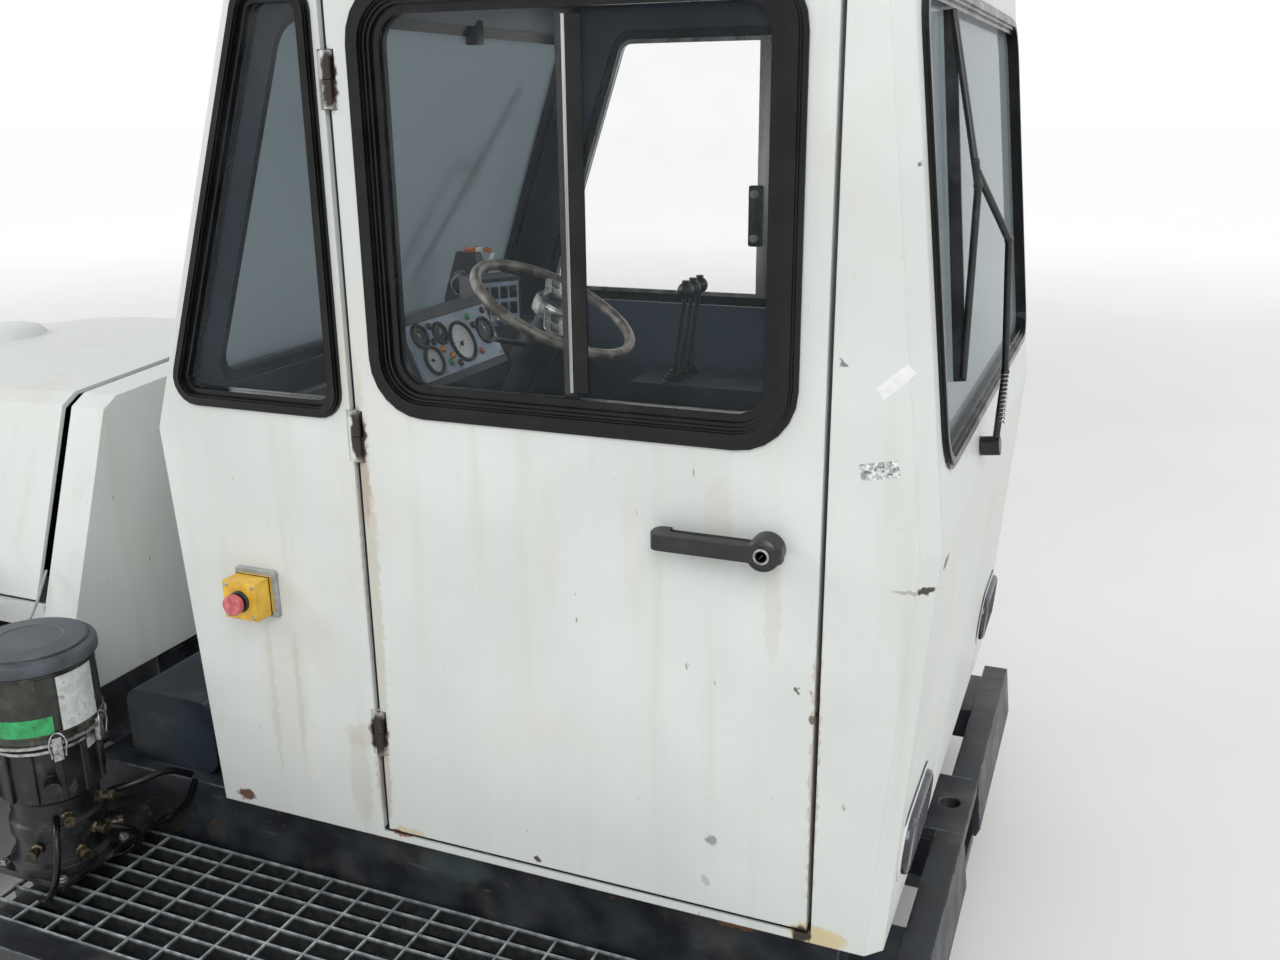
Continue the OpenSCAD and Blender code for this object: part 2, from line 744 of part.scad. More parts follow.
// A solid through rings of equal length, each a list of [y, z] at its x.
module loft_x(xs, rings) {
    n = len(rings[0]);
    m = len(xs);
    points = [for (i = [0 : m - 1]) for (p = rings[i]) [xs[i], p[0], p[1]]];
    half = n / 2;
    ends = [
        for (k = [0 : half - 2])
            for (t = [[k, k + 1, n - 1 - k], [k + 1, n - 2 - k, n - 1 - k]])
                t
    ];
    polyhedron(points, concat(
        ends,
        [
            for (i = [0 : m - 2])
                for (k = [0 : n - 1])
                    let (a = i * n + k, b = i * n + (k + 1) % n)
                    for (t = [[a, a + n, b + n], [a, b + n, b]])
                        t
        ],
        [for (t = ends) [t[2] + (m - 1) * n, t[1] + (m - 1) * n, t[0] + (m - 1) * n]]
    ), 4);
}

// The hood's U-shaped section at x: its outer ring, then its inner ring turned back.
function hood_shell(x) =
    let (outer = hood_ring(x, 0), inner = hood_ring(x, hood_t), last = len(inner) - 1)
    concat(outer, [
        for (k = [last : -1 : 0])
            [inner[k][0], k == 0 || k == last ? hood_edge_z : inner[k][1]]
    ]);

HOOD_STATIONS = concat(
    [hood_x, hood_x + hood_level_l],
    [for (k = [1 : 6]) hood_x + hood_level_l + (hood_l - hood_level_l) * k * 0.4 / 6],
    [hood_x1]
);

// The hood's two hinges, by their distance from the middle, with their axis in the seam.
HOOD_HINGES = [-380, 380];
hood_hinge_z = deck_z + 16;

module hood_lid() {
    color(WHITE) {
        loft_x(HOOD_STATIONS, [for (x = HOOD_STATIONS) hood_shell(x)]);
        for (y = HOOD_HINGES) difference() {
            union() {
                bar_y([hood_x1 + 6, y - 30, hood_hinge_z], 14, 60);
                block(hood_x1 - 60, hood_x1 - 1, y - 30, y + 30, hood_hinge_z - 34, hood_hinge_z + 8);
            }
            bar_y([hood_x1 + 6, y - 31, hood_hinge_z], 6 + bearing_gap, 62);
        }
    }
}

// Ledge under the hood's side edge, on the frame.
module hood_sills() {
    y = hood_edge_y + 8;
    top = hood_edge_z - 6;
    color(WHITE) both_sides() slab_x([[frame_y, frame_top_z - 12], [y, frame_top_z - 12], [y, top],
        [y - 12, top], [y - 12, frame_top_z], [frame_y, frame_top_z]], seam_x, deck_x0);
}

module hood_bulkhead() {
    z = bulkhead_z;
    color(WHITE) difference() {
        slab_x(concat(hood_ring(hood_x, 0), [[-hood_y(z) + 1, z], [hood_y(z) - 1, z]]), strip_x, seam_x);
        slab_x(concat(hood_ring(hood_x, 20), [[-hood_y(z - 1) + 21, z - 1], [hood_y(z - 1) - 21, z - 1]]),
            strip_x + 12, seam_x + 1);
    }
}

module front_cowl() {
    color(WHITE) {
        difference() {
            slab_x(cowl_ring(0), deck_x0, nose_x);
            slab_x(cowl_ring(hood_t), deck_x0 - 1, nose_x - 8);
            slab_x(rounded(rectangle(-330, 330, grille_z + 15, deck_z - 70), 20), nose_x - 9, nose_x + 1);
            block(nose_x - 9, nose_x + 1, -frame_y - 2, frame_y + 2, liner_z - 1, frame_top_z - 136);
        }
        for (y = HOOD_HINGES)
            for (s = [-1, 1]) {
                bar_y([hood_x1 + 6, y + s * 45 - 14, hood_hinge_z], 14, 28);
                block(deck_x0, deck_x0 + 50, y + s * 45 - 14, y + s * 45 + 14,
                    hood_hinge_z - 34, hood_hinge_z + 8);
                bar_y([hood_x1 + 6, y - 45, hood_hinge_z], 6, 90);
            }
    }
}

// Outline of the front cowl in Y and Z: the hood's at its front end, on a narrower wheel liner.
function cowl_ring(d) =
    let (
        ring = hood_ring(hood_x1, d),
        half = [
            [liner_y - d, liner_z - (d > 0 ? 1 : 0)], [liner_y - d, hood_edge_z - 12 + d],
            [hood_y(hood_edge_z) - d, hood_edge_z - 12 + d]
        ]
    )
    concat(half, ring, [for (k = [2 : -1 : 0]) [-half[k][0], half[k][1]]]);

module grille() {
    z0 = grille_z;
    z1 = deck_z - 54;
    half = 346;
    slat = 8;
    slats = 9;
    color(PLASTIC) {
        for (k = [0 : slats])
            let (z = z0 + (z1 - z0 - slat) * k / slats)
            block(nose_x - 34, nose_x - 8, -half, half, z, z + slat);
        for (y = [-half, -slat, half - 2 * slat])
            block(nose_x - 34, nose_x - 8, y, y + 2 * slat, z0, z1);
    }
}

module fenders() {
    z = fender_z;
    edge_y = hood_y(hood_edge_z);
    flat = 395;
    inner = hood_edge_y + 8;
    color(WHITE) both_sides() {
        for (x = [rear_axle_x, front_axle_x]) difference() {
            slab_y([[x - 470, z - 110], [x - 400, z], [x + 400, z], [x + 470, z - 110], [x + 462, z - 114],
                [x + flat, z - 8], [x - flat, z - 8], [x - 462, z - 114]],
                x == rear_axle_x ? inner : hood_top_y, step_y - 20);
            slab_x(concat([[edge_y, liner_z]], hood_ring(hood_x1, 0), [[-edge_y, liner_z]]),
                deck_x0, nose_x);
        }
        block(rear_axle_x - flat, rear_axle_x + flat, inner, inner + 6, frame_top_z - 12, z - 4);
    }
}

module side_boxes() {
    x0 = rear_axle_x + tyre_d / 2 + 95;
    x1 = front_axle_x - tyre_d / 2 - 95;
    z0 = frame_z + 30;
    inner = liner_y + 10;
    outer = step_y - 20;
    color(WHITE) both_sides() {
        block(x0, x1, inner, outer, z0, hood_edge_z - 70);
        block(x0, x1, hood_edge_y + 8, outer, z0, fender_z - 30);
        for (x = [x0 + 60, x1 - 120])
            block(x, x + 60, frame_y, inner, z0 + 70, z0 + 130);
        // Doors and handles of the boxes
        for (k = [0, 1]) {
            a = x0 + 24 + k * (x1 - x0) / 2;
            block(a, a + (x1 - x0) / 2 - 48, outer - 1, outer + 6, z0 + 30, fender_z - 70);
            block(a + 40, a + 130, outer + 5, outer + 16, fender_z - 130, fender_z - 110);
        }
    }
}

module engine_block() {
    x0 = rear_axle_x - 200;
    z0 = frame_top_z - 150;
    color("#3d4042") {
        block(x0, x0 + engine_l, -engine_half, engine_half, z0, z0 + 420);
        both_sides() for (x = [x0 + 90, x0 + engine_l - 220])
            block(x, x + 90, engine_half - 10, frame_y - frame_t, z0 + 20, z0 + 60);
    }
}

module oil_tank() {
    x0 = cab_front_x + 20;
    x1 = strip_x - 72;
    half = 608;
    z0 = tray_top;
    z1 = bulkhead_z + 16;
    color("#1d242c") slab_y(rounded([[x0, z0], [x1, z0], [x1, z1], [x0, z1]], 34), -half, half);
}

pump_c = [strip_x - 108, 845];

module grease_pump() {
    z0 = tray_top - 88;
    color("#1c1d1f") {
        block(pump_c[0] - 90, pump_c[0] + 90, tray_y, pump_c[1] + 90, z0, z0 + 12);
        translate([pump_c[0], pump_c[1], z0 + 11]) {
            cylinder(r = 62, h = 160);
            translate([0, 0, 159]) cylinder(r = 92, h = reservoir_z - z0 - 170);
            for (a = [20, 140, 260]) rotate([0, 0, a]) bar_x([60, 0, 200], 15, 62);
        }
        translate([pump_c[0], pump_c[1], lid_z]) {
            cylinder(r = lid_r, h = 15);
            translate([0, 0, 14]) cylinder(r1 = lid_r - 5, r2 = lid_r - 12, h = 11);
        }
    }
}

module grease_reservoir() {
    color("#3c4034") translate([pump_c[0], pump_c[1], reservoir_z]) {
        cylinder(r = reservoir_r, h = lid_z - reservoir_z);
    }
}

stop_x = cab_x + 1225;
stop_z = 950;

module emergency_stops() {
    color("#e0b23c") both_sides() {
        block(stop_x - 42, stop_x + 42, cab_y, cab_y + 7, stop_z - 44, stop_z + 44);
        block(stop_x - 36, stop_x + 36, cab_y + 6, cab_y + 54, stop_z - 36, stop_z + 36);
    }
}

module stop_buttons() {
    color("#a8322e") both_sides() {
        bar_y([stop_x, cab_y + 54, stop_z], 11, 14);
        bar_y([stop_x, cab_y + 67, stop_z], 20, 13);
    }
}

module door_panel() {
    color(WHITE) {
        difference() {
            slab_y(DOOR, inner_y, cab_y);
            slab_y(rounded(DOOR_WINDOW, 90), inner_y - 1, cab_y + 1);
            for (z = HINGES)
                block(hinge_x - hinge_slot, hinge_x, hinge_y - hinge_slot, cab_y + 1,
                    z - hinge_l - 1, z + hinge_l + 1);
        }
        for (z = HINGES) {
            bar_z([hinge_x, hinge_y, z - hinge_l], hinge_r, hinge_l - 0.5);
            bar_z([hinge_x, hinge_y, z - hinge_l], hinge_pin_r, 2 * hinge_l - 4);
            block(hinge_x - hinge_slot - 2, hinge_x - 4, hinge_y - 6, hinge_y, z - hinge_l, z - 0.5);
        }
    }
}

module door_ring() {
    color(RUBBER) {
        ring_y(DOOR_WINDOW, door_rubber - 14, 90, cab_y - 30, cab_y);
        ring_y(DOOR_WINDOW, door_rubber, 90, cab_y - 12, cab_y - 6);
        ring_y(grown(DOOR_WINDOW, 6), 34, 96, cab_y, cab_y + 4);
        ring_y(grown(DOOR_WINDOW, -3), 20, 87, cab_y + 4, cab_y + 8);
        ring_y(grown(DOOR_WINDOW, -6), 14, 84, cab_y + 8, cab_y + 12);
    }
}

module door_pane() {
    color("#8fa6a2", 0.4)
        slab_y(rounded(grown(DOOR_WINDOW, 13.7 - door_rubber), 57), cab_y - 22, cab_y - 16);
}

// Aluminium frame and divider of the door's sliding window.
module door_slider() {
    p = grown(DOOR_WINDOW, -door_rubber + 12);
    x = (DOOR_WINDOW[0][0] + DOOR_WINDOW[1][0]) / 2 + 8;
    color(GALVANISED) {
        difference() {
            slab_y(rounded(p, 56), cab_y - 33, cab_y - 22.3);
            slab_y(rounded(grown(p, -9), 47), cab_y - 34, cab_y - 22);
        }
        block(x - 12, x + 12, cab_y - 35, cab_y - 22.3, DOOR_WINDOW[0][1] + door_rubber - 9,
            DOOR_WINDOW[2][1] - door_rubber + 9);
    }
}

module door_pull() {
    x = cab_x + 224;
    l = 209;
    z = door_z + 649;
    color(PLASTIC) translate([0, 0, z]) linear_extrude(26) difference() {
        polygon(rounded(rectangle(x, x + l, cab_y, cab_y + 42), 16));
        polygon(rounded(rectangle(x + 26, x + l - 26, cab_y - 30, cab_y + 22), 12));
    }
}

module axle_beam(y, pad_h) {
    color(STEEL) {
        bar_y([0, -y, axle_z], 65, 2 * y);
        translate([0, 0, axle_z]) sphere(r = 170);
        both_sides() block(-100, 100, frame_y - frame_t, frame_y, axle_z + 40, axle_z + pad_h);
    }
}

module rear_axle() {
    color(STEEL) translate([rear_axle_x, 0, 0]) {
        axle_beam(690, rear_pad_h);
        both_sides() bar_y([0, 690, axle_z], spindle_r, 290);
    }
}

module front_axle() {
    yoke_y = kingpin_y - 105;
    color(STEEL) translate([front_axle_x, 0, 0]) {
        axle_beam(640, front_pad_h);
        both_sides() {
            block(-50, 50, yoke_y, yoke_y + 25, axle_z - 110, axle_z + 110);
            for (z = [-110, 80])
                block(-50, 50, yoke_y + 20, kingpin_y + 45, axle_z + z, axle_z + z + 30);
            bar_z([0, kingpin_y, axle_z - 118], kingpin_r, 236);
        }
    }
}

// One steered knuckle, on the left side.
module knuckle() {
    color(STEEL) translate([front_axle_x, 0, 0]) difference() {
        union() {
            bar_z([0, kingpin_y, axle_z - 79.5], 46, 159);
            bar_y([0, kingpin_y + 30, axle_z], spindle_r, 980 - kingpin_y - 30);
            block(-arm_l - 22, 0, kingpin_y - 22, kingpin_y + 22, axle_z + 45, axle_z + 70);
            bar_z([-arm_l, kingpin_y, axle_z + 60], tie_pin_r, 62);
        }
        bar_z([0, kingpin_y, axle_z - 81], kingpin_r + bearing_gap, 162);
    }
}

module tie_rod() {
    color(STEEL) translate([front_axle_x - arm_l, 0, axle_z + 95]) difference() {
        union() {
            bar_y([0, -kingpin_y, 0], 15, 2 * kingpin_y);
            both_sides() bar_z([0, kingpin_y, -20], 28, 40);
        }
        bar_z([0, kingpin_y, -30], tie_pin_r + bearing_gap, 60);
        bar_z([0, -kingpin_y, -30], tie_pin_r + 2, 60);
    }
}

module tyre() {
    half = tyre_w / 2;
    r = tyre_d / 2;
    bead = rim_d / 2;
    color(RUBBER) rotate([90, 0, 0]) rotate_extrude($fn = 64) polygon([
        [bead, -half + 40], [bead + 30, -half + 14], [r - 90, -half], [r - 30, -half + 8], [r, -half + 34],
        [r, half - 34], [r - 30, half - 8], [r - 90, half], [bead + 30, half - 14], [bead, half - 40]
    ]);
}

module rim() {
    half = tyre_w / 2;
    r = rim_d / 2;
    color(WHITE) rotate([90, 0, 0]) rotate_extrude() polygon([
        [spindle_r + bearing_gap, -half + 60], [100, -half + 60], [110, -half + 110], [r - 20, -half + 110],
        [r - 20, -half + 30], [r, -half + 30], [r, half - 30], [r - 20, half - 30], [r - 20, -half + 124],
        [110, -half + 124], [spindle_r + bearing_gap, -half + 124]]);
}

module at_wheel(x, side) {
    translate([x, side * track_y, axle_z]) rotate([0, 0, side > 0 ? 0 : 180]) children();
}

module steering_wheel() {
    rim_r = 11;
    color(PLASTIC) translate(wheel_c) rotate([0, -wheel_tilt, 0]) {
        rotate_extrude($fn = 96) translate([wheel_r - rim_r, 0]) circle(r = rim_r, $fn = 16);
        difference() {
            cylinder(r = 42, h = 30, center = true);
            translate([0, 0, -16]) cylinder(r = 12 + bearing_gap, h = 12);
        }
        for (a = [-62, 118]) rotate([0, 0, a])
            translate([30, -14, -4]) cube([wheel_r - rim_r - 30, 28, 8]);
    }
}

main_frame();
rear_frame();
rear_bumper();
front_bumper();
front_tow_jaw();
rear_tow_jaw();
side_steps();
gratings();
cab_floor();
cab_side_left();
cab_side_right();
cab_rear_wall();
cab_front_wall();
cab_roof();
cab_glass();
cab_window_rubbers();
window_frame();
dashboard();
instrument_panel();
knob_bracket();
hand_controls();
side_console();
seat_base();
seat();
wipers();
lamps();
beacon();
hood_bulkhead();
hood_sills();
front_cowl();
grille();
fenders();
side_boxes();
engine_block();
oil_tank();
grease_pump();
grease_reservoir();
emergency_stops();
stop_buttons();
rear_axle();
front_axle();
hood_lid();
steering_wheel();
door_panel();  // door_left
door_ring();  // door_rubber_left
door_pane();  // door_glass_left
door_slider();  // door_slider_left
door_pull();  // door_handle_left
knuckle();  // knuckle_left
mirror([0, 1, 0]) knuckle();  // knuckle_right
tie_rod();
at_wheel(front_axle_x, 1) tyre();  // tyre_front_left
at_wheel(front_axle_x, 1) rim();  // rim_front_left
at_wheel(front_axle_x, -1) tyre();  // tyre_front_right
at_wheel(front_axle_x, -1) rim();  // rim_front_right
at_wheel(rear_axle_x, 1) tyre();  // tyre_rear_left
at_wheel(rear_axle_x, 1) rim();  // rim_rear_left
at_wheel(rear_axle_x, -1) tyre();  // tyre_rear_right
at_wheel(rear_axle_x, -1) rim();  // rim_rear_right
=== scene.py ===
"""Dresses the pushback tractor's CAD model with its finishes, trim, light and camera."""

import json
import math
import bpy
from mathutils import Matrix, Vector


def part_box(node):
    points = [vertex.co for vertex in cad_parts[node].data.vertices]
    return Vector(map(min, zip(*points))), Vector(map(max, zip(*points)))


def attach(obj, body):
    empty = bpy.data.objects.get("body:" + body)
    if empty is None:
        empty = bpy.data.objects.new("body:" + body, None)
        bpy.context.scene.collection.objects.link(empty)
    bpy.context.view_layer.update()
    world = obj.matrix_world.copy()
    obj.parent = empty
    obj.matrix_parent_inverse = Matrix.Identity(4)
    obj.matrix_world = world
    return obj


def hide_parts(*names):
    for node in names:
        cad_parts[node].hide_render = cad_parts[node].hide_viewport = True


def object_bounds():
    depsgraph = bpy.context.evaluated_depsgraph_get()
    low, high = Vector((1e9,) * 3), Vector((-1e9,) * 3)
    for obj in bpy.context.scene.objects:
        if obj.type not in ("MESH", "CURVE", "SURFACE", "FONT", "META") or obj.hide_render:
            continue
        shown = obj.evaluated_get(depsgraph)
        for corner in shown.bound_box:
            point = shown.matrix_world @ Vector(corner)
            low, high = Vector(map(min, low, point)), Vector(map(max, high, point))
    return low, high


bl_info = {
    "name": "Pushback tractor looks",
    "version": (1, 1, 0),
    "blender": (4, 5, 0),
    "location": "View3D > Sidebar > Tractor",
    "description": "Finishes, trim and studio for a pushback tractor built on its CAD frame",
    "category": "Object",
}

import bpy
from mathutils import Euler, Matrix, Vector

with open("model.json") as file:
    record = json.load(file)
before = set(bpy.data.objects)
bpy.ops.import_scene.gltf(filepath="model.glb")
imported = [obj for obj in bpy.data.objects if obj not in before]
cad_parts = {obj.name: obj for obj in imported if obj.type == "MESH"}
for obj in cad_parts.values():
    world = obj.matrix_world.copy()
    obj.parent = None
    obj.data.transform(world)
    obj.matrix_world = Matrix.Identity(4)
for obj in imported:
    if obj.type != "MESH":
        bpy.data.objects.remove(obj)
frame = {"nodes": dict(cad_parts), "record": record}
NODES = frame["nodes"]
SLOTS = {part["node"]: part["material_slot"] for part in frame["record"]["subparts"]}
CAD_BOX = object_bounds()
MM = 0.001
X, Y, Z = Vector((1, 0, 0)), Vector((0, 1, 0)), Vector((0, 0, 1))
SIDES = (1, -1)

# Places taken from the CAD, in metres
CAB_SIDE = 0.675
CABIN_MIDDLE, CABIN_HALF = (-1.85, 0.0, 1.265), (0.75, 0.664, 0.795)
WHEELS = {
    "front_left": (1.85, 1), "front_right": (1.85, -1),
    "rear_left": (-0.15, 1), "rear_right": (-0.15, -1),
}
TRACK, AXLE_Z = 0.890, 0.425
GAUGES = ((150, 62, 40), (276, 44, 27), (290, 98, 22), (50, 70, 26), (218, 92, 20))
PUMP = Vector((-0.941, 0.845, 0.0))
STOP = Vector((-1.349, 0.0, 0.950))
TYRE_RADIUS, BOLT_CIRCLE = 0.4245, 0.140
LEVER_ROWS = (-0.47, -0.42, -0.37)
PEDALS = ((0.330, 0.060), (0.080, 0.110))
HANDLE = Vector((-2.322, 0.676, 1.163))


def leaning(origin, degrees):
    """A frame whose Z leans towards +X by so many degrees, with its X across the wall."""
    return Matrix.Translation(origin) @ Matrix.Rotation(math.radians(degrees), 4, "Y")


def about_z(degrees):
    """A turn about Z."""
    return Matrix.Rotation(math.radians(degrees), 4, "Z")


DIAL_FACE = leaning((-1.522, 0, 1.276), 24)
REAR_WALL = leaning((-2.574, 0, 1.180), 6.30)
REAR_FOOT = leaning((-2.524, 0, 0.480), -4.09)
SCREEN = leaning((-1.151, 0, 1.245), -18.88)
HAND_WHEEL = leaning((-1.726, 0.175, 1.418), -28)
SEAT_BASE = Matrix.Translation((-2.090, 0.175, 1.081))
SEAT_BACK = leaning((-2.277, 0.175, 1.340), -8.3)
BEACON = Matrix.Translation((-1.951, 0, 2.125))
SWITCHES = Matrix.Translation((-1.472, -0.062, 1.379)) @ about_z(-35)


def facing(point, direction, spin=0.0):
    """A place at the point whose Z looks along the direction, turned about it by spin degrees."""
    turn = Vector(direction).to_track_quat("Z", "Y").to_matrix().to_4x4()
    return Matrix.Translation(point) @ turn @ about_z(spin)


# Materials

def srgb(code):
    """Linear RGBA of an sRGB hex colour such as "e4e5e0"."""
    parts = [int(code[i:i + 2], 16) / 255 for i in (0, 2, 4)]
    return [c / 12.92 if c <= 0.04045 else ((c + 0.055) / 1.055) ** 2.4 for c in parts] + [1.0]


def node(tree, kind, inputs=None, output=0, **settings):
    """Adds a node with its settings, fills or links its inputs, and gives back one output."""
    made = tree.nodes.new(kind)
    for name, value in settings.items():
        setattr(made, name, value)
    for key, value in (inputs or {}).items():
        if isinstance(value, bpy.types.NodeSocket):
            tree.links.new(value, made.inputs[key])
        else:
            made.inputs[key].default_value = value
    return made.outputs[output]


def finish(name, dark, light, patch=0.1, stretch=(1, 1, 1), rough=(0.4, 0.6), metallic=0.0,
           relief=((0.006, 0.0002),), wear=(), marks=(), cabin=None, edge=None, weave=0.0, shine=0.5,
           painted_shade_below=None):
    """A finish in two tones with its grain, the coats of wear over it, and single marks at their places.

    relief holds (size, height) of each grain. wear holds (colour, strength, size, stretch, from, to, height)
    of each coat that noise breaks up. marks holds (colour, strength, middle, half size) of each mark.
    cabin is the colour of faces inside the cab, edge the (colour, width, strength) of worn edges, weave
    the thread spacing, shine the specular level, and soil the (colour, strength, low, high) of a painted
    shade that darkens all that lies below a height. All are in metres.
    """
    material = bpy.data.materials.new(name)
    material.use_nodes = True
    tree = material.node_tree
    shader = tree.nodes["Principled BSDF"]
    shader.inputs["Metallic"].default_value = metallic
    shader.inputs["Specular IOR Level"].default_value = shine
    place = node(tree, "ShaderNodeTexCoord", output="Object")
    smooth = {"interpolation_type": "SMOOTHSTEP"}
    grained = node(tree, "ShaderNodeMapping", {"Vector": place, "Scale": [1 / s for s in stretch]})
    patches = node(tree, "ShaderNodeTexNoise", {"Vector": grained, "Scale": 1 / patch, "Detail": 4.0}, "Fac")
    tone = node(tree, "ShaderNodeMapRange", {"Value": patches, "From Min": 0.35, "From Max": 0.7}, **smooth)
    colour = node(tree, "ShaderNodeMix", {0: tone, 6: srgb(dark), 7: srgb(light)}, 2, data_type="RGBA")
    roughness = node(tree, "ShaderNodeMapRange", {
        "Value": patches, "From Min": 0.3, "From Max": 0.7, "To Min": rough[0], "To Max": rough[1]})
    height = 0.0
    for size, depth in relief:
        grain = node(tree, "ShaderNodeTexNoise", {"Vector": place, "Scale": 1 / size, "Detail": 2.0}, "Fac")
        height = node(tree, "ShaderNodeMath", {0: grain, 1: depth, 2: height}, operation="MULTIPLY_ADD")
    coats = []
    normal = None
    if edge:
        code, width, strength = edge
        normal = node(tree, "ShaderNodeBevel", {"Radius": width}, samples=4)
        flat = node(tree, "ShaderNodeNewGeometry", output="Normal")
        turned_by = node(tree, "ShaderNodeVectorMath", {0: normal, 1: flat}, 1, operation="DOT_PRODUCT")
        near = node(tree, "ShaderNodeMapRange", {
            "Value": turned_by, "From Min": 0.99, "From Max": 0.85, "To Max": strength})
        worn = node(tree, "ShaderNodeTexNoise", {"Vector": place, "Scale": 35.0, "Detail": 4.0}, "Fac")
        worn = node(tree, "ShaderNodeMapRange", {"Value": worn, "From Min": 0.38, "From Max": 0.55}, **smooth)
        coats.append((node(tree, "ShaderNodeMath", {0: near, 1: worn}, operation="MULTIPLY"), code, 0.0))
    for code, strength, size, run, low, high, depth in wear:
        along = node(tree, "ShaderNodeMapping", {"Vector": place, "Scale": [1 / s for s in run]})
        spots = node(tree, "ShaderNodeTexNoise", {"Vector": along, "Scale": 1 / size, "Detail": 5.0}, "Fac")
        mask = node(tree, "ShaderNodeMapRange", {
            "Value": spots, "From Min": low, "From Max": high, "To Max": strength}, **smooth)
        coats.append((mask, code, depth))
    if marks:
        wobble = node(tree, "ShaderNodeTexNoise", {"Vector": place, "Scale": 70.0, "Detail": 4.0}, "Color")
        ragged = node(tree, "ShaderNodeVectorMath", {
            0: wobble, 1: (0.024, 0.024, 0.024), 2: place}, operation="MULTIPLY_ADD")
        for code, strength, middle, half in marks:
            spot = node(tree, "ShaderNodeMapping", {
                "Vector": ragged, "Scale": [1 / h for h in half],
                "Location": [-(m + 0.012) / h for m, h in zip(middle, half)]})
            spot = node(tree, "ShaderNodeTexGradient", {"Vector": spot}, "Fac", gradient_type="SPHERICAL")
            mask = node(tree, "ShaderNodeMapRange", {
                "Value": spot, "From Min": 0.05, "From Max": 0.4, "To Max": strength}, **smooth)
            coats.append((mask, code, 0.0))
    # Painted shade: all that lies below a height is darkened towards the colour, as the shade under a grating
    if painted_shade_below:
        code, strength, low, high = painted_shade_below
        parts = node(tree, "ShaderNodeSeparateXYZ", {0: place}).node.outputs
        mask = node(tree, "ShaderNodeMapRange", {
            "Value": parts[2], "From Min": high, "From Max": low, "To Max": strength})
        coats.append((mask, code, 0.0))
    if cabin:
        away = node(tree, "ShaderNodeVectorMath", {0: place, 1: CABIN_MIDDLE}, operation="SUBTRACT")
        own = node(tree, "ShaderNodeTexCoord", output="Normal")
        inward = node(tree, "ShaderNodeVectorMath", {0: own, 1: away}, 1, operation="DOT_PRODUCT")
        inward = node(tree, "ShaderNodeMath", {0: inward, 1: -0.001}, operation="LESS_THAN")
        outside = node(tree, "ShaderNodeVectorMath", {0: away}, operation="ABSOLUTE")
        outside = node(tree, "ShaderNodeVectorMath", {0: outside, 1: CABIN_HALF}, operation="SUBTRACT")
        parts = node(tree, "ShaderNodeSeparateXYZ", {0: outside}).node.outputs
        far = node(tree, "ShaderNodeMath", {0: parts[0], 1: parts[1]}, operation="MAXIMUM")
        far = node(tree, "ShaderNodeMath", {0: far, 1: parts[2]}, operation="MAXIMUM")
        inside = node(tree, "ShaderNodeMath", {0: far, 1: 0.0}, operation="LESS_THAN")
        coats.append((node(tree, "ShaderNodeMath", {0: inside, 1: inward}, operation="MULTIPLY"), cabin, 0.0))
    if weave:
        threads = node(tree, "ShaderNodeVectorMath", {
            0: place, 1: (2 * math.pi / weave,) * 3}, operation="MULTIPLY")
        threads = node(tree, "ShaderNodeVectorMath", {0: threads}, operation="SINE")
        parts = node(tree, "ShaderNodeSeparateXYZ", {0: threads}).node.outputs
        crossed = node(tree, "ShaderNodeCombineXYZ", {0: parts[1], 1: parts[2], 2: parts[0]})
        crossed = node(tree, "ShaderNodeVectorMath", {0: threads, 1: crossed}, 1, operation="DOT_PRODUCT")
        height = node(tree, "ShaderNodeMath", {0: crossed, 1: 0.12 * weave, 2: height},
                      operation="MULTIPLY_ADD")
    for mask, code, depth in coats:
        colour = node(tree, "ShaderNodeMix", {0: mask, 6: colour, 7: srgb(code)}, 2, data_type="RGBA")
        if depth:
            height = node(tree, "ShaderNodeMath", {0: mask, 1: depth, 2: height}, operation="MULTIPLY_ADD")
    tree.links.new(colour, shader.inputs["Base Color"])
    tree.links.new(roughness, shader.inputs["Roughness"])
    bumped = {"Height": height, "Distance": 1.0, "Strength": 1.0}
    if normal:
        bumped["Normal"] = normal
    tree.links.new(node(tree, "ShaderNodeBump", bumped), shader.inputs["Normal"])
    return material


def looking(tree):
    """One for a ray that looks, from the camera, off gloss or through glass, and zero for one that lights."""
    rays = node(tree, "ShaderNodeLightPath").node.outputs
    seen = node(tree, "ShaderNodeMath", {0: rays["Is Camera Ray"], 1: rays["Is Glossy Ray"]},
                operation="MAXIMUM")
    return node(tree, "ShaderNodeMath", {0: seen, 1: rays["Is Transmission Ray"]}, operation="MAXIMUM")


def window_glass(name, reflection_and_dust_colour, haze):
    """Tempered glass: clear when seen straight on, more mirror at a slant, where its pale colour turns opaque
    as a painted reflection, with a film of dust in patches.
    """
    material = bpy.data.materials.new(name)
    material.use_nodes = True
    tree = material.node_tree
    shader = tree.nodes["Principled BSDF"]
    place = node(tree, "ShaderNodeTexCoord", output="Object")
    # Painted reflection: the Fresnel weight turns the pale colour opaque at a slant
    slant = node(tree, "ShaderNodeLayerWeight", {"Blend": 0.22}, "Fresnel")
    dust = node(tree, "ShaderNodeTexNoise", {"Vector": place, "Scale": 9.0, "Detail": 6.0}, "Fac")
    dust = node(tree, "ShaderNodeMapRange", {
        "Value": dust, "From Min": 0.4, "From Max": 0.75, "To Min": 0.004, "To Max": haze})
    alpha = node(tree, "ShaderNodeMath", {0: slant, 1: 1.0, 2: dust}, operation="MULTIPLY_ADD")
    shader.inputs["Base Color"].default_value = srgb(reflection_and_dust_colour)
    shader.inputs["Roughness"].default_value = 0.03
    shader.inputs["IOR"].default_value = 1.52
    tree.links.new(alpha, shader.inputs["Alpha"])
    return material


RUST, DEEP_RUST, STREAK, SOOT = "8a5530", "241a15", "aea48f", "2c2a28"
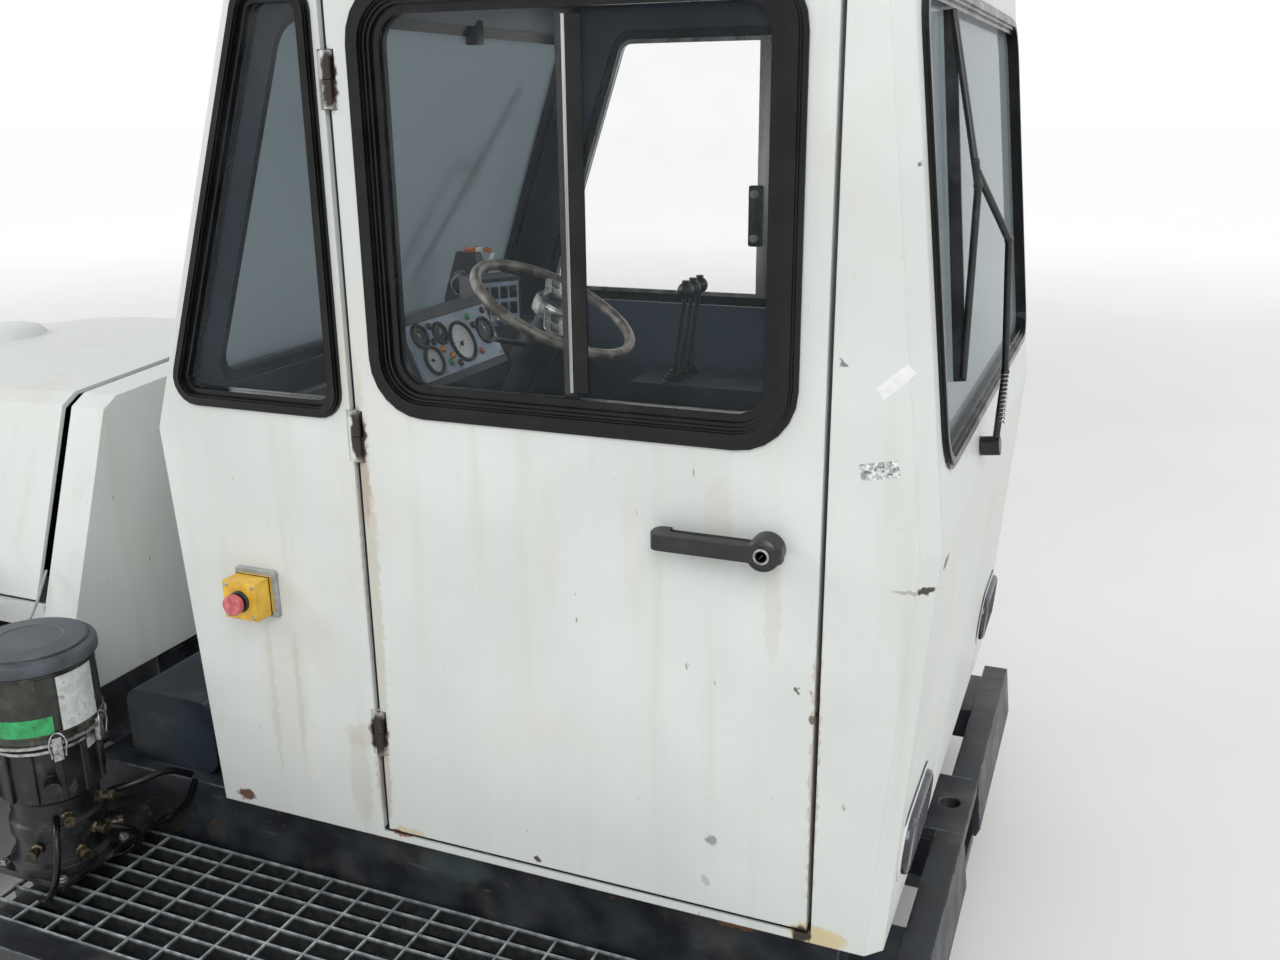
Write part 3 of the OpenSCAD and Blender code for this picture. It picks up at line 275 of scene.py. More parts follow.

# Marks on the white enamel, read off the tractor's left side: rust at the corners and hinges, run-down
# streaks, chips and old smudges, with a painted highlight at the door's front foot and a painted shade
# along the belt crease at the rear corner
SIDE_MARKS = (
    (STREAK, 0.16, (-1.386, 0.68, 0.765), (0.070, 0.06, 0.18)),
    (STREAK, 0.25, (-1.356, 0.68, 0.72), (0.010, 0.06, 0.20)),
    (STREAK, 0.25, (-1.416, 0.68, 0.74), (0.010, 0.06, 0.16)),
    ("5f3d26", 0.95, (-1.262, 0.68, 0.500), (0.026, 0.05, 0.014)),
    (STREAK, 0.45, (-1.600, 0.68, 1.02), (0.022, 0.05, 0.46)),
    (RUST, 0.35, (-1.602, 0.68, 1.19), (0.012, 0.05, 0.10)),
    (RUST, 0.35, (-1.592, 0.68, 0.61), (0.020, 0.05, 0.12)),
    (STREAK, 0.30, (-1.56, 0.68, 0.69), (0.060, 0.05, 0.03)),
    (STREAK, 0.28, (-1.54, 0.68, 0.60), (0.030, 0.05, 0.13)),
    (DEEP_RUST, 1.0, (-1.598, 0.68, 1.27), (0.017, 0.05, 0.058)),
    (DEEP_RUST, 1.0, (-1.590, 0.68, 0.702), (0.024, 0.05, 0.058)),
    (DEEP_RUST, 1.0, (-1.597, 0.68, 1.844), (0.017, 0.05, 0.058)),
    # Painted highlight: a cream patch at the foot of the door's front edge
    ("cbb894", 0.7, (-1.640, 0.68, 0.506), (0.040, 0.05, 0.010)),
    (RUST, 0.9, (-1.625, 0.68, 0.497), (0.030, 0.05, 0.008)),
    ("cdbd90", 0.9, (-2.420, 0.67, 0.494), (0.060, 0.06, 0.028)),
    (DEEP_RUST, 0.95, (-2.392, 0.67, 0.492), (0.020, 0.06, 0.020)),
    (SOOT, 0.7, (-2.422, 0.67, 1.455), (0.007, 0.05, 0.009)),
    # Painted shade: a thin grey line along the belt crease at the rear corner
    ("8d8a82", 0.6, (-2.535, 0.66, 1.119), (0.034, 0.12, 0.0045)),
    (DEEP_RUST, 0.95, (-2.556, 0.66, 1.122), (0.014, 0.10, 0.009)),
    (DEEP_RUST, 1.0, (-2.572, 0.575, 1.138), (0.020, 0.034, 0.012)),
    ("7f8382", 0.8, (-2.236, 0.68, 0.634), (0.013, 0.05, 0.014)),
    ("9a9e9c", 0.55, (-2.225, 0.68, 0.553), (0.011, 0.05, 0.012)),
    (DEEP_RUST, 0.9, (-1.907, 0.68, 0.518), (0.009, 0.05, 0.008)),
    (DEEP_RUST, 0.8, (-2.372, 0.68, 0.935), (0.005, 0.05, 0.006)),
    (DEEP_RUST, 0.8, (-2.514, 0.68, 1.724), (0.006, 0.05, 0.008)),
    (DEEP_RUST, 0.8, (-2.398, 0.68, 0.888), (0.006, 0.05, 0.010)),
    (RUST, 0.35, (-2.404, 0.68, 0.80), (0.009, 0.05, 0.34)),
    ("bfb7a6", 0.12, (-1.82, 0.68, 1.14), (0.018, 0.05, 0.16)),
    ("bfb7a6", 0.12, (-1.95, 0.68, 1.12), (0.025, 0.05, 0.15)),
    ("bfb7a6", 0.12, (-2.10, 0.68, 1.13), (0.020, 0.05, 0.17)),
    ("bfb7a6", 0.25, (-2.24, 0.68, 1.20), (0.030, 0.05, 0.09)),
    (STREAK, 0.20, (-2.33, 0.68, 1.06), (0.018, 0.05, 0.11)),
)

# The finish of each slot of the record, and of the trim that only the scene has
FINISHES = {
    # Sprayed alkyd enamel on sheet steel: satin, chalked, with grey rain streaks and fine dirt
    "white_paint": dict(
        name="weathered white enamel", dark="ccd0cd", light="d6dad7", patch=0.35, rough=(0.30, 0.46),
        relief=((0.30, 0.0025), (0.004, 0.00004)), marks=SIDE_MARKS, cabin="364354",
        edge=("b9b4a8", 0.003, 0.45),
        wear=(("b8b7ac", 0.30, 0.045, (1, 1, 16), 0.52, 0.80, 0.0),
              ("c3bdae", 0.35, 0.28, (1, 1, 1), 0.55, 0.80, 0.0),
              ("8f7f69", 0.8, 0.012, (1, 1, 2.5), 0.72, 0.78, -0.0001))),
    # The same enamel on the wheels, with brake dust in its patches
    "rim_paint": dict(name="wheel enamel", dark="aeada6", light="d0d1cc", patch=0.12, rough=(0.4, 0.6),
                      edge=("6f5a45", 0.004, 0.7),
                      wear=(("6a6054", 0.6, 0.05, (1, 1, 1), 0.55, 0.75, 0.0),)),
    # Blue-black enamel over mill-scale steel: worn pale on its edges, rusty in spots
    "frame_paint": dict(
        name="worn blue-black frame enamel", dark="16191e", light="292e36", patch=0.09, rough=(0.34, 0.6),
        relief=((0.02, 0.0006), (0.003, 0.0001)), edge=("7d858c", 0.006, 0.75),
        marks=(("3f4c50", 0.7, (-1.72, 0.66, 0.43), (0.10, 0.05, 0.05)),
               (RUST, 0.6, (-2.27, 0.66, 0.452), (0.05, 0.05, 0.012)),
               ("7c6a52", 0.7, (-1.75, 0.65, 0.478), (0.70, 0.03, 0.010))),
        wear=(("4a4740", 0.6, 0.12, (1, 1, 1), 0.52, 0.72, 0.0),
              ("5c3b25", 0.85, 0.025, (1, 1, 1), 0.66, 0.74, 0.0002),
              ("596068", 0.5, 0.02, (6, 1, 1), 0.62, 0.75, 0.0))),
    # Hammered blue-black enamel on the tank: a little gloss over dust
    "tank_paint": dict(
        name="blue-black tank enamel", dark="141b23", light="25303b", patch=0.16, rough=(0.3, 0.5),
        relief=((0.012, 0.0005),), wear=(("3d4142", 0.6, 0.07, (1, 1, 1), 0.52, 0.75, 0.0),)),
    # Hot-dip galvanised bars: grey zinc with bright spangle, near black below a height as a painted shade
    # under the grating, so that only their tops stay bright
    "galvanised": dict(
        name="hot-dip galvanised steel", dark="8e9598", light="c6cbcc", patch=0.02, rough=(0.3, 0.5),
        metallic=0.35, relief=((0.004, 0.0002),), painted_shade_below=("1d1f21", 0.92, 0.3290, 0.3345),
        wear=(("5b564d", 0.6, 0.08, (1, 1, 1), 0.57, 0.74, 0.0),)),
    # Satin anodised aluminium section: pale, with lengthwise draw lines
    "aluminium": dict(name="anodised aluminium", dark="9a9c9b", light="c4c6c5", patch=0.03,
                      stretch=(1, 1, 12), rough=(0.25, 0.4), metallic=0.9, relief=((0.002, 0.00003),)),
    # Black stoved enamel on pressed steel: satin with grey dust and a little wear
    "black_metal": dict(
        name="black stoved enamel", dark="0e0f11", light="1c1e21", patch=0.05, rough=(0.28, 0.45),
        relief=((0.004, 0.0001),), edge=("4b4e52", 0.0025, 0.5),
        wear=(("3c3d3e", 0.45, 0.03, (1, 1, 1), 0.56, 0.75, 0.0),)),
    # Cast iron with a film of oil: coarse sand skin, dark and half dull
    "engine_iron": dict(name="oiled cast iron", dark="26292b", light="43474a", patch=0.05,
                        rough=(0.4, 0.65), metallic=0.3, relief=((0.004, 0.0006),),
                        wear=(("141312", 0.7, 0.08, (1, 1, 1), 0.5, 0.7, 0.0),)),
    # Extruded EPDM seal: nearly black, with a waxy sheen and chalky dust
    "rubber": dict(name="EPDM window seal", dark="08080a", light="111214", patch=0.06, rough=(0.16, 0.3),
                   relief=((0.003, 0.0001),), shine=0.3,
                   wear=(("232427", 0.5, 0.05, (1, 1, 4), 0.56, 0.76, 0.0),)),
    # Carbon-black tyre rubber: dull, with dried mud in its grooves
    "tyre": dict(name="tyre rubber", dark="151515", light="262626", patch=0.06, rough=(0.6, 0.85),
                 relief=((0.004, 0.0003),),
                 wear=(("5a5449", 0.55, 0.07, (1, 1, 1), 0.55, 0.75, 0.0),)),
    # Moulded ABS trim: fine leather-like grain, dust in the corners
    "trim_plastic": dict(name="grained ABS trim", dark="181b21", light="252a33", patch=0.08,
                         rough=(0.42, 0.62), relief=((0.003, 0.0003),), edge=("3f454d", 0.003, 0.4),
                         wear=(("474a4c", 0.5, 0.05, (1, 1, 1), 0.56, 0.76, 0.0),)),
    # Blue-grey enamel of the dial panel: satin, scratched and dusty
    "panel_paint": dict(name="blue-grey panel enamel", dark="8fa3b8", light="adbfd0", patch=0.05,
                        rough=(0.35, 0.5),
                        wear=(("4b5866", 0.7, 0.03, (1, 1, 1), 0.56, 0.74, 0.0),)),
    # Hard rubber rim that hands have polished: brown-grey and half glossy
    "worn_rim": dict(name="hand-worn rim rubber", dark="4f4b45", light="8d887e", patch=0.03,
                     rough=(0.28, 0.42), relief=((0.004, 0.0001),),
                     wear=(("2b2926", 0.7, 0.02, (1, 1, 1), 0.56, 0.72, 0.0),)),
    # Woven seat cloth: dull, with a thread spacing drawn at 4 mm so that it shows
    "seat_cloth": dict(name="woven seat cloth", dark="1a1c20", light="2f333b", patch=0.012,
                       rough=(0.85, 0.98), relief=((0.05, 0.002),), weave=0.004,
                       wear=(("4b4c4c", 0.5, 0.09, (1, 1, 1), 0.52, 0.75, 0.0),)),
    # Dark moulded polycarbonate of the lamp bodies
    "lamp_lens": dict(name="lamp body polycarbonate", dark="1c1c1f", light="2c2c30", patch=0.05,
                      rough=(0.25, 0.45)),
    # Smoked red acrylic: deep purple until it is lit, with a wet gloss
    "rear_lens": dict(name="smoked red acrylic", dark="2b2a33", light="45454f", patch=0.05,
                      rough=(0.06, 0.14), relief=((0.006, 0.0003),),
                      wear=(("6a6a72", 0.45, 0.04, (1, 1, 3), 0.58, 0.78, 0.0),)),
    # Pressed head-lamp glass over a bright reflector
    "head_lens": dict(name="pressed head-lamp glass", dark="9aa3a6", light="d9dedf", patch=0.012,
                      stretch=(1, 1, 5), rough=(0.05, 0.12), relief=((0.008, 0.0008),)),
    # Amber acrylic: saturated and glossy, sun-faded in patches
    "amber_lens": dict(name="amber acrylic", dark="c06a14", light="de9426", patch=0.05,
                       rough=(0.08, 0.2), relief=((0.01, 0.0004),)),
    # Glass-filled nylon of the pump: black, greasy, with dust stuck to it
    "pump_plastic": dict(
        name="glass-filled nylon", dark="0c0d0f", light="1f2226", patch=0.045, rough=(0.24, 0.55),
        relief=((0.004, 0.0003),), edge=("45484c", 0.003, 0.4), shine=0.4,
        wear=(("57534b", 0.6, 0.03, (1, 1, 1), 0.56, 0.74, 0.0),)),
    # Slate-grey polypropylene lid
    "lid_plastic": dict(name="slate polypropylene", dark="343940", light="4a5058", patch=0.05,
                        rough=(0.4, 0.55), relief=((0.003, 0.0003),), edge=("7a8087", 0.003, 0.5)),
    # Clear acrylic cup full of grease: olive-black and glossy, with pale streaks painted as highlights where
    # grease smears catch the light
    "reservoir_plastic": dict(
        name="greasy acrylic cup", dark="1a1d16", light="3b4036", patch=0.05, rough=(0.08, 0.3),
        relief=((0.03, 0.0006),),
        wear=(("6f7364", 0.6, 0.035, (1, 1, 3), 0.56, 0.74, 0.0003),
              ("0e0f0b", 0.8, 0.07, (1, 1, 1), 0.5, 0.66, 0.0))),
    # Sun-faded yellow polycarbonate box with dirt in its pores
    "stop_yellow": dict(name="faded yellow polycarbonate", dark="cfa02c", light="e6bd45", patch=0.03,
                        rough=(0.32, 0.5), edge=("f0d478", 0.003, 0.5),
                        wear=(("8b6c2a", 0.6, 0.012, (1, 1, 3), 0.6, 0.75, 0.0),)),
    # Faded red nylon, chalked to pink where the rain reaches it
    "stop_red": dict(name="faded red nylon", dark="b04a50", light="d27a7a", patch=0.012,
                     rough=(0.35, 0.5), edge=("e3a4a0", 0.002, 0.6)),
    # Dull grey moulded base and printed labels without any print
    "grey_plastic": dict(name="grey moulded plastic", dark="8a8d8c", light="a5a8a7", patch=0.02,
                         rough=(0.45, 0.6), wear=(("5b5851", 0.6, 0.02, (1, 1, 1), 0.56, 0.74, 0.0),)),
    "blank_label": dict(name="blank vinyl label", dark="b2b6b6", light="d4d7d6", patch=0.02,
                        rough=(0.3, 0.5), relief=((0.006, 0.0002),),
                        wear=(("6b6e6c", 0.7, 0.02, (1, 1, 1), 0.55, 0.7, 0.0),)),
    "old_label": dict(name="scraped vinyl label", dark="8d9290", light="e8eae9", patch=0.006,
                      rough=(0.5, 0.7), wear=(("5f6462", 0.9, 0.005, (1, 1, 1), 0.52, 0.62, 0.0),)),
    "green_label": dict(name="green vinyl band", dark="1f8a4c", light="35a866", patch=0.02,
                        rough=(0.3, 0.5), wear=(("1a3b28", 0.6, 0.015, (1, 1, 1), 0.58, 0.72, 0.0),)),
    "tape": dict(name="white cloth tape", dark="eceeee", light="f4f5f5", patch=0.01, rough=(0.6, 0.8),
                 weave=0.002),
    # Zinc-plated fasteners: bright grey with a brown bloom
    "plated": dict(name="zinc-plated steel", dark="8b8d8c", light="b9bbba", patch=0.008,
                   rough=(0.25, 0.45), metallic=0.9,
                   wear=(("5a4433", 0.7, 0.012, (1, 1, 1), 0.58, 0.72, 0.0),)),
    # Brass couplings under old grease: dark and brown, bright only where a spanner turned
    "dull_brass": dict(name="greasy brass", dark="2c271e", light="5d5340", patch=0.012, rough=(0.3, 0.5),
                       metallic=0.6, edge=("9c8f6e", 0.0015, 0.5)),
    # Dial cards: pale enamel and matt black, with their printed ticks as thin pieces
    "dial_white": dict(name="pale dial card", dark="e4e7e9", light="f2f4f5", patch=0.02, rough=(0.5, 0.7)),
    "dial_black": dict(name="matt black dial card", dark="101214", light="1b1d20", patch=0.02,
                       rough=(0.4, 0.6)),
    "tick_dark": dict(name="black print", dark="16181a", light="222426", patch=0.02, rough=(0.6, 0.7)),
    "tick_light": dict(name="white print", dark="c9cccd", light="e3e5e5", patch=0.02, rough=(0.6, 0.7)),
}
OWN_FINISH = {"door_slider_left": "black_metal", "steering_wheel": "worn_rim"}
# Its pale blue-grey shows faintly as a dust film, and opaque at a slant as a painted reflection
GLASSES = {"glass": ("tempered window glass", "b3bfc4", 0.016)}
MADE = {}


def material_for(slot):
    """The finish of a slot, made once."""
    if slot not in MADE:
        MADE[slot] = window_glass(*GLASSES[slot]) if slot in GLASSES else finish(**FINISHES[slot])
    return MADE[slot]


# Modelling steps that several pieces share

def only(piece):
    """Makes the piece the one that is selected and active."""
    bpy.ops.object.select_all(action="DESELECT")
    piece.select_set(True)
    bpy.context.view_layer.objects.active = piece


def start(kind, **settings):
    """Adds a primitive with nothing else selected."""
    bpy.ops.object.select_all(action="DESELECT")
    getattr(bpy.ops.mesh, "primitive_" + kind + "_add")(**settings)
    bpy.ops.object.transform_apply(location=True, rotation=True, scale=True)
    return bpy.context.object


def pick(piece, wanted, edges=False):
    """Opens a piece in edit mode with some faces selected, told by their middle and normal, or edges."""
    only(piece)
    mesh = piece.data
    bpy.context.tool_settings.mesh_select_mode = (False, edges, not edges)
    for part in (*mesh.vertices, *mesh.edges, *mesh.polygons):
        part.select = False
    for part in mesh.edges if edges else mesh.polygons:
        if edges:
            a, b = (mesh.vertices[i].co for i in part.vertices)
            part.select = wanted((a + b) / 2, (b - a).normalized())
        else:
            part.select = wanted(part.center, part.normal)
    bpy.ops.object.mode_set(mode="EDIT")


def done():
    bpy.ops.object.mode_set(mode="OBJECT")


def drawn_out(profile):
    """Extrudes and scales what is selected through the profile's (radius, height) pairs."""
    for (r0, z0), (r1, z1) in zip(profile, profile[1:]):
        bpy.ops.mesh.extrude_region_move(TRANSFORM_OT_translate={"value": (0, 0, z1 - z0)})
        bpy.ops.transform.resize(value=(r1 / r0, r1 / r0, 1), center_override=(0, 0, z1))


def turned(profile, sides=32):
    """A solid turned round Z: a disc is extruded and scaled along its profile."""
    piece = start("circle", vertices=sides, radius=profile[0][0], fill_type="NGON",
                  location=(0, 0, profile[0][1]))
    bpy.ops.object.mode_set(mode="EDIT")
    drawn_out(profile)
    done()
    return piece


def ring(profile, sides=48):
    """A ring turned round Z: an open circle is drawn out along its profile, and its two ends are bridged."""
    piece = start("circle", vertices=sides, radius=profile[0][0], fill_type="NOTHING",
                  location=(0, 0, profile[0][1]))
    bpy.context.tool_settings.mesh_select_mode = (False, True, False)
    bpy.ops.object.mode_set(mode="EDIT")
    bpy.ops.mesh.select_all(action="SELECT")
    drawn_out(profile)
    bpy.ops.mesh.select_all(action="DESELECT")
    bpy.ops.mesh.select_non_manifold()
    bpy.ops.mesh.bridge_edge_loops()
    done()
    return piece


def slab(length, width, height, corner=0.0, edge=0.0, dish=0.0):
    """A block on Z = 0 with its upright edges rounded by corner and its top by edge, and a sunk top."""
    piece = start("cube", size=1, scale=(length, width, height), location=(0, 0, height / 2))
    if corner:
        pick(piece, lambda middle, along: abs(along.z) > 0.9, edges=True)
        bpy.ops.mesh.bevel(offset=corner, segments=6)
        done()
    if edge:
        pick(piece, lambda middle, along: middle.z > height - 1e-5, edges=True)
        bpy.ops.mesh.bevel(offset=edge, segments=3)
        done()
    if dish:
        pick(piece, lambda middle, normal: normal.z > 0.99 and middle.z > height - 1e-5)
        bpy.ops.mesh.inset(thickness=2.5 * abs(dish), depth=-dish)
        done()
    return piece


def swept(radius, thickness, height, begin, end):
    """A curved plate round Z from one angle to another, in degrees: an upright card is spun."""
    piece = start("plane", size=1, rotation=(math.pi / 2, 0, 0))
    pick(piece, lambda middle, normal: True)
    bpy.ops.transform.resize(value=(thickness, 1, height), center_override=(0, 0, 0))
    bpy.ops.transform.translate(value=(radius + thickness / 2, 0, height / 2))
    bpy.ops.mesh.spin(steps=max(4, int(abs(end - begin) / 6)), angle=math.radians(end - begin),
                      center=(0, 0, 0), axis=(0, 0, 1))
    done()
    turned_left = sum(v.co.y for v in piece.data.vertices) > 0
    piece.matrix_basis = about_z(begin if turned_left else end)
    return piece


def tube(points, radius, bent=True):
    """A round tube through the points, drawn as a curve and made a mesh."""
    bpy.ops.object.select_all(action="DESELECT")
    bpy.ops.curve.primitive_bezier_curve_add(location=(0, 0, 0))
    piece = bpy.context.object
    curve = piece.data
    curve.dimensions = "3D"
    knots = curve.splines[0].bezier_points
    knots.add(len(points) - 2)
    for knot in knots:
        knot.handle_left_type = knot.handle_right_type = "AUTO" if bent else "VECTOR"
    for knot, point in zip(knots, points):
        knot.co = point
    curve.bevel_depth = radius
    curve.bevel_resolution = 3
    curve.resolution_u = 6 if bent else 1
    curve.use_fill_caps = True
    bpy.ops.object.convert(target="MESH")
    return bpy.context.object


def joined(pieces):
    """Joins pieces into one."""
    bpy.ops.object.select_all(action="DESELECT")
    for piece in pieces:
        piece.select_set(True)
    bpy.context.view_layer.objects.active = pieces[0]
    if len(pieces) > 1:
        bpy.ops.object.join()
    return bpy.context.object


def repeated(piece, places):
    """Copies a piece to each place, each copy with its own mesh, and joins the copies."""
    copies = []
    for place in places:
        only(piece)
        bpy.ops.object.duplicate(linked=False)
        copy = bpy.context.object
        copy.matrix_basis = place @ piece.matrix_basis
        copies.append(copy)
    bpy.data.objects.remove(piece)
    return joined(copies)


def settle(piece, name, slot, place=None, body="chassis", angle=30.0):
    """Puts a piece's place in its mesh, closes it, turns its faces out, and gives it the finish of its slot and
    its body.
    """
    if place is not None:
        piece.matrix_basis = place @ piece.matrix_basis
    only(piece)
    bpy.ops.object.transform_apply(location=True, rotation=True, scale=True)
    bpy.ops.object.mode_set(mode="EDIT")
    bpy.ops.mesh.select_all(action="SELECT")
    bpy.ops.mesh.remove_doubles(threshold=0.00002)
    bpy.ops.mesh.normals_make_consistent(inside=False)
    done()
    bpy.ops.object.shade_smooth_by_angle(angle=math.radians(angle))
    piece.name = name
    piece.data.materials.clear()
    piece.data.materials.append(material_for(slot))
    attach(piece, body)
    return piece


class TractorLooks(bpy.types.PropertyGroup):
    """Sizes that a user would change."""
    light_level: bpy.props.FloatProperty(
        name="Light level", description="Strength of the sky light", default=0.53, min=0.0, max=2.0)
    lens: bpy.props.FloatProperty(
        name="Lens", description="Focal length on a 36 mm wide sensor", default=33.88, min=10.0, unit="CAMERA")
    eye: bpy.props.FloatVectorProperty(
        name="Camera place", description="Where the camera stands", default=(-2.790, 2.325, 1.800),
        subtype="TRANSLATION", unit="LENGTH")
    turn: bpy.props.FloatVectorProperty(
        name="Camera turn", description="Tilt, roll and heading of the camera",
        default=(math.radians(72.787), math.radians(0.507), math.radians(-157.845)), subtype="EULER")
    tread: bpy.props.FloatProperty(
        name="Tread depth", description="Depth of the tyre grooves", default=0.014, min=0.002, max=0.02,
        unit="LENGTH")
    swell: bpy.props.FloatProperty(
        name="Seat swell", description="How far the stuffing may push the seat cloth out", default=0.014,
        min=0.0, max=0.03, unit="LENGTH")


class TRACTOR_OT_finishes(bpy.types.Operator):
    """Gives every CAD node its finish"""
    bl_idname = "tractor.finishes"
    bl_label = "Finishes"

    def execute(self, context):
        for name, slot in SLOTS.items():
            mesh = NODES[name].data
            mesh.materials.clear()
            mesh.materials.append(material_for(OWN_FINISH.get(name, slot)))
        return {"FINISHED"}


class TRACTOR_OT_tyres(bpy.types.Operator):
    """Makes the four tyres with their tread"""
    bl_idname = "tractor.tyres"
    bl_label = "Tyres"

    def execute(self, context):
        depth = context.scene.tractor_looks.tread
        base = TYRE_RADIUS - depth
        half = [(0.200, 0.090), (0.214, 0.108), (0.230, 0.116), (0.262, 0.121), (0.268, 0.124),
                (0.335, 0.1295), (0.341, 0.127), (0.372, 0.125), (base - 0.012, 0.117), (base, 0.099),
                (base, 0.062), (base, 0.048), (base, 0.020), (base, 0.008)]
        profile = [(r, -y) for r, y in half] + [(r, y) for r, y in reversed(half)]
        piece = ring(profile, 96)

        def shoulder(middle, normal):
            step = int(math.degrees(math.atan2(middle.y, middle.x)) % 360 / 3.75)
            return middle.xy.length > base - 0.014 and abs(middle.z) > 0.06 and step % 3 > 0

        def rib(middle, normal):
            step = int(math.degrees(math.atan2(middle.y, middle.x)) % 360 / 3.75)
            band = 0.02 < abs(middle.z) < 0.048
            return middle.xy.length > base - 0.003 and band and step % 6 > 0

        for wanted, rise in ((shoulder, depth), (rib, depth)):
            pick(piece, wanted)
            bpy.ops.mesh.extrude_region_move(TRANSFORM_OT_translate={"value": (0, 0, 0)})
            grown = (base + rise) / base
            bpy.ops.transform.resize(value=(grown, grown, 1), center_override=(0, 0, 0))
            done()
        places = {}
        for wheel, (x, side) in WHEELS.items():
            places[wheel] = facing((x, side * TRACK, AXLE_Z), Y * side)
        for wheel, place in places.items():
            only(piece)
            bpy.ops.object.duplicate(linked=False)
            tyre = settle(context.object, "tread_" + wheel, "tyre", place, "wheel_" + wheel, 35)
            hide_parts("tyre_" + wheel)
        bpy.data.objects.remove(piece)
        return {"FINISHED"}


class TRACTOR_OT_wheel_nuts(bpy.types.Operator):
    """Makes the wheel nuts, hub caps and valves"""
    bl_idname = "tractor.wheel_nuts"
    bl_label = "Wheel nuts"

    def execute(self, context):
        for wheel, (x, side) in WHEELS.items():
            out = Y * side
            disc = side * (TRACK + 0.020)
            nut = joined([
                turned([(0.019, 0), (0.019, 0.003), (0.0165, 0.0035)], 20),
                turned([(0.0150, 0.003), (0.0150, 0.015), (0.0125, 0.018)], 6),
                turned([(0.0075, 0.017), (0.0075, 0.026), (0.0060, 0.028)], 16)])
            circle = [math.radians(a) for a in range(0, 360, 36)]
            spots = [facing((x + BOLT_CIRCLE * math.cos(a), disc, AXLE_Z + BOLT_CIRCLE * math.sin(a)), out,
                            40 * a) for a in circle]
            settle(repeated(nut, spots), "wheel_nuts_" + wheel, "plated", body="wheel_" + wheel)
            cap = turned([(0.062, 0), (0.062, 0.006), (0.052, 0.008), (0.050, 0.026), (0.044, 0.034),
                          (0.026, 0.038), (0.006, 0.039)])
            settle(cap, "hub_cap_" + wheel, "black_metal", facing((x, side * (TRACK + 0.070), AXLE_Z), out),
                   "wheel_" + wheel)
            valve = joined([turned([(0.008, 0), (0.007, 0.010), (0.0045, 0.013), (0.0045, 0.034)], 16),
                            turned([(0.0058, 0.030), (0.0058, 0.044), (0.0040, 0.046)], 10)])
            settle(valve, "valve_" + wheel, "rubber", facing((x, disc - side * 0.002, AXLE_Z - 0.165), out),
                   "wheel_" + wheel)
        return {"FINISHED"}


def stuffed(name, size, swell, place):
    """A pad of bevelled foam that cloth simulation swells by at most swell, with a softened skin."""
    piece = start("cube", size=1, scale=size)
    pick(piece, lambda middle, along: True, edges=True)
    bpy.ops.mesh.bevel(offset=0.26 * min(size), segments=4)
    done()
    only(piece)
    remesh = piece.modifiers.new("skin", "REMESH")
    remesh.mode = "VOXEL"
    remesh.voxel_size = 0.008
    bpy.ops.object.modifier_apply(modifier="skin")
    before = [v.co.copy() for v in piece.data.vertices]
    cloth = piece.modifiers.new("stuffing", "CLOTH")
    cloth.settings.use_pressure = True
    cloth.settings.uniform_pressure_force = 4.0
    cloth.settings.effector_weights.gravity = 0.0
    for step in range(1, 21):
        bpy.context.scene.frame_set(step)
    bpy.ops.object.modifier_apply(modifier="stuffing")
    bpy.context.scene.frame_set(1)
    for vertex, old in zip(piece.data.vertices, before):
        moved = vertex.co - old
        if moved.length > swell:
            vertex.co = old + moved.normalized() * swell
    skin = piece.modifiers.new("softened", "SMOOTH")
    skin.iterations = 4
    bpy.ops.object.modifier_apply(modifier="softened")
    skin = piece.modifiers.new("fine skin", "SUBSURF")
    skin.levels = skin.render_levels = 1
    bpy.ops.object.modifier_apply(modifier="fine skin")
    return settle(piece, name, "seat_cloth", place, angle=60)


class TRACTOR_OT_seat(bpy.types.Operator):
    """Makes the driver's padded seat with its piping and shell"""
    bl_idname = "tractor.seat"
    bl_label = "Seat"

    def execute(self, context):
        swell = context.scene.tractor_looks.swell
        cushion = stuffed("seat_cushion", (0.430, 0.440, 0.088), swell, SEAT_BASE)
        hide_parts("seat")
        rest = stuffed("seat_back", (0.078, 0.440, 0.380), swell, SEAT_BACK)

        def loop(half_a, half_b, place):
            corner = 0.05
            points = []
            for sa, sb in ((1, 1), (-1, 1), (-1, -1), (1, -1)):
                turn = math.atan2(sb, sa) - math.pi / 4
                points += [Vector((sa * (half_a - corner) + corner * math.cos(turn + k * math.pi / 8),
                                   sb * (half_b - corner) + corner * math.sin(turn + k * math.pi / 8), 0))
                           for k in range(5)]
            return tube([place @ p for p in points + points[:1]], 0.004, bent=False)

        settle(joined([loop(0.222, 0.226, SEAT_BASE @ Matrix.Translation((0, 0, 0.024))),
                       loop(0.196, 0.226, SEAT_BACK @ Matrix.Rotation(math.pi / 2, 4, "Y")
                            @ Matrix.Translation((0, 0, 0.022)))]),
               "seat_piping", "rubber", angle=50)
        shell = slab(0.400, 0.430, 0.012, 0.06, 0.006, 0.004)
        settle(shell, "seat_back_shell", "trim_plastic",
               SEAT_BACK @ Matrix.Translation((-0.051, 0, 0)) @ Matrix.Rotation(-math.pi / 2, 4, "Y"))
        pan = slab(0.420, 0.430, 0.016, 0.05, 0.006)
        settle(pan, "seat_pan", "trim_plastic", Matrix.Translation((-2.090, 0.175, 1.0205)))
        return {"FINISHED"}


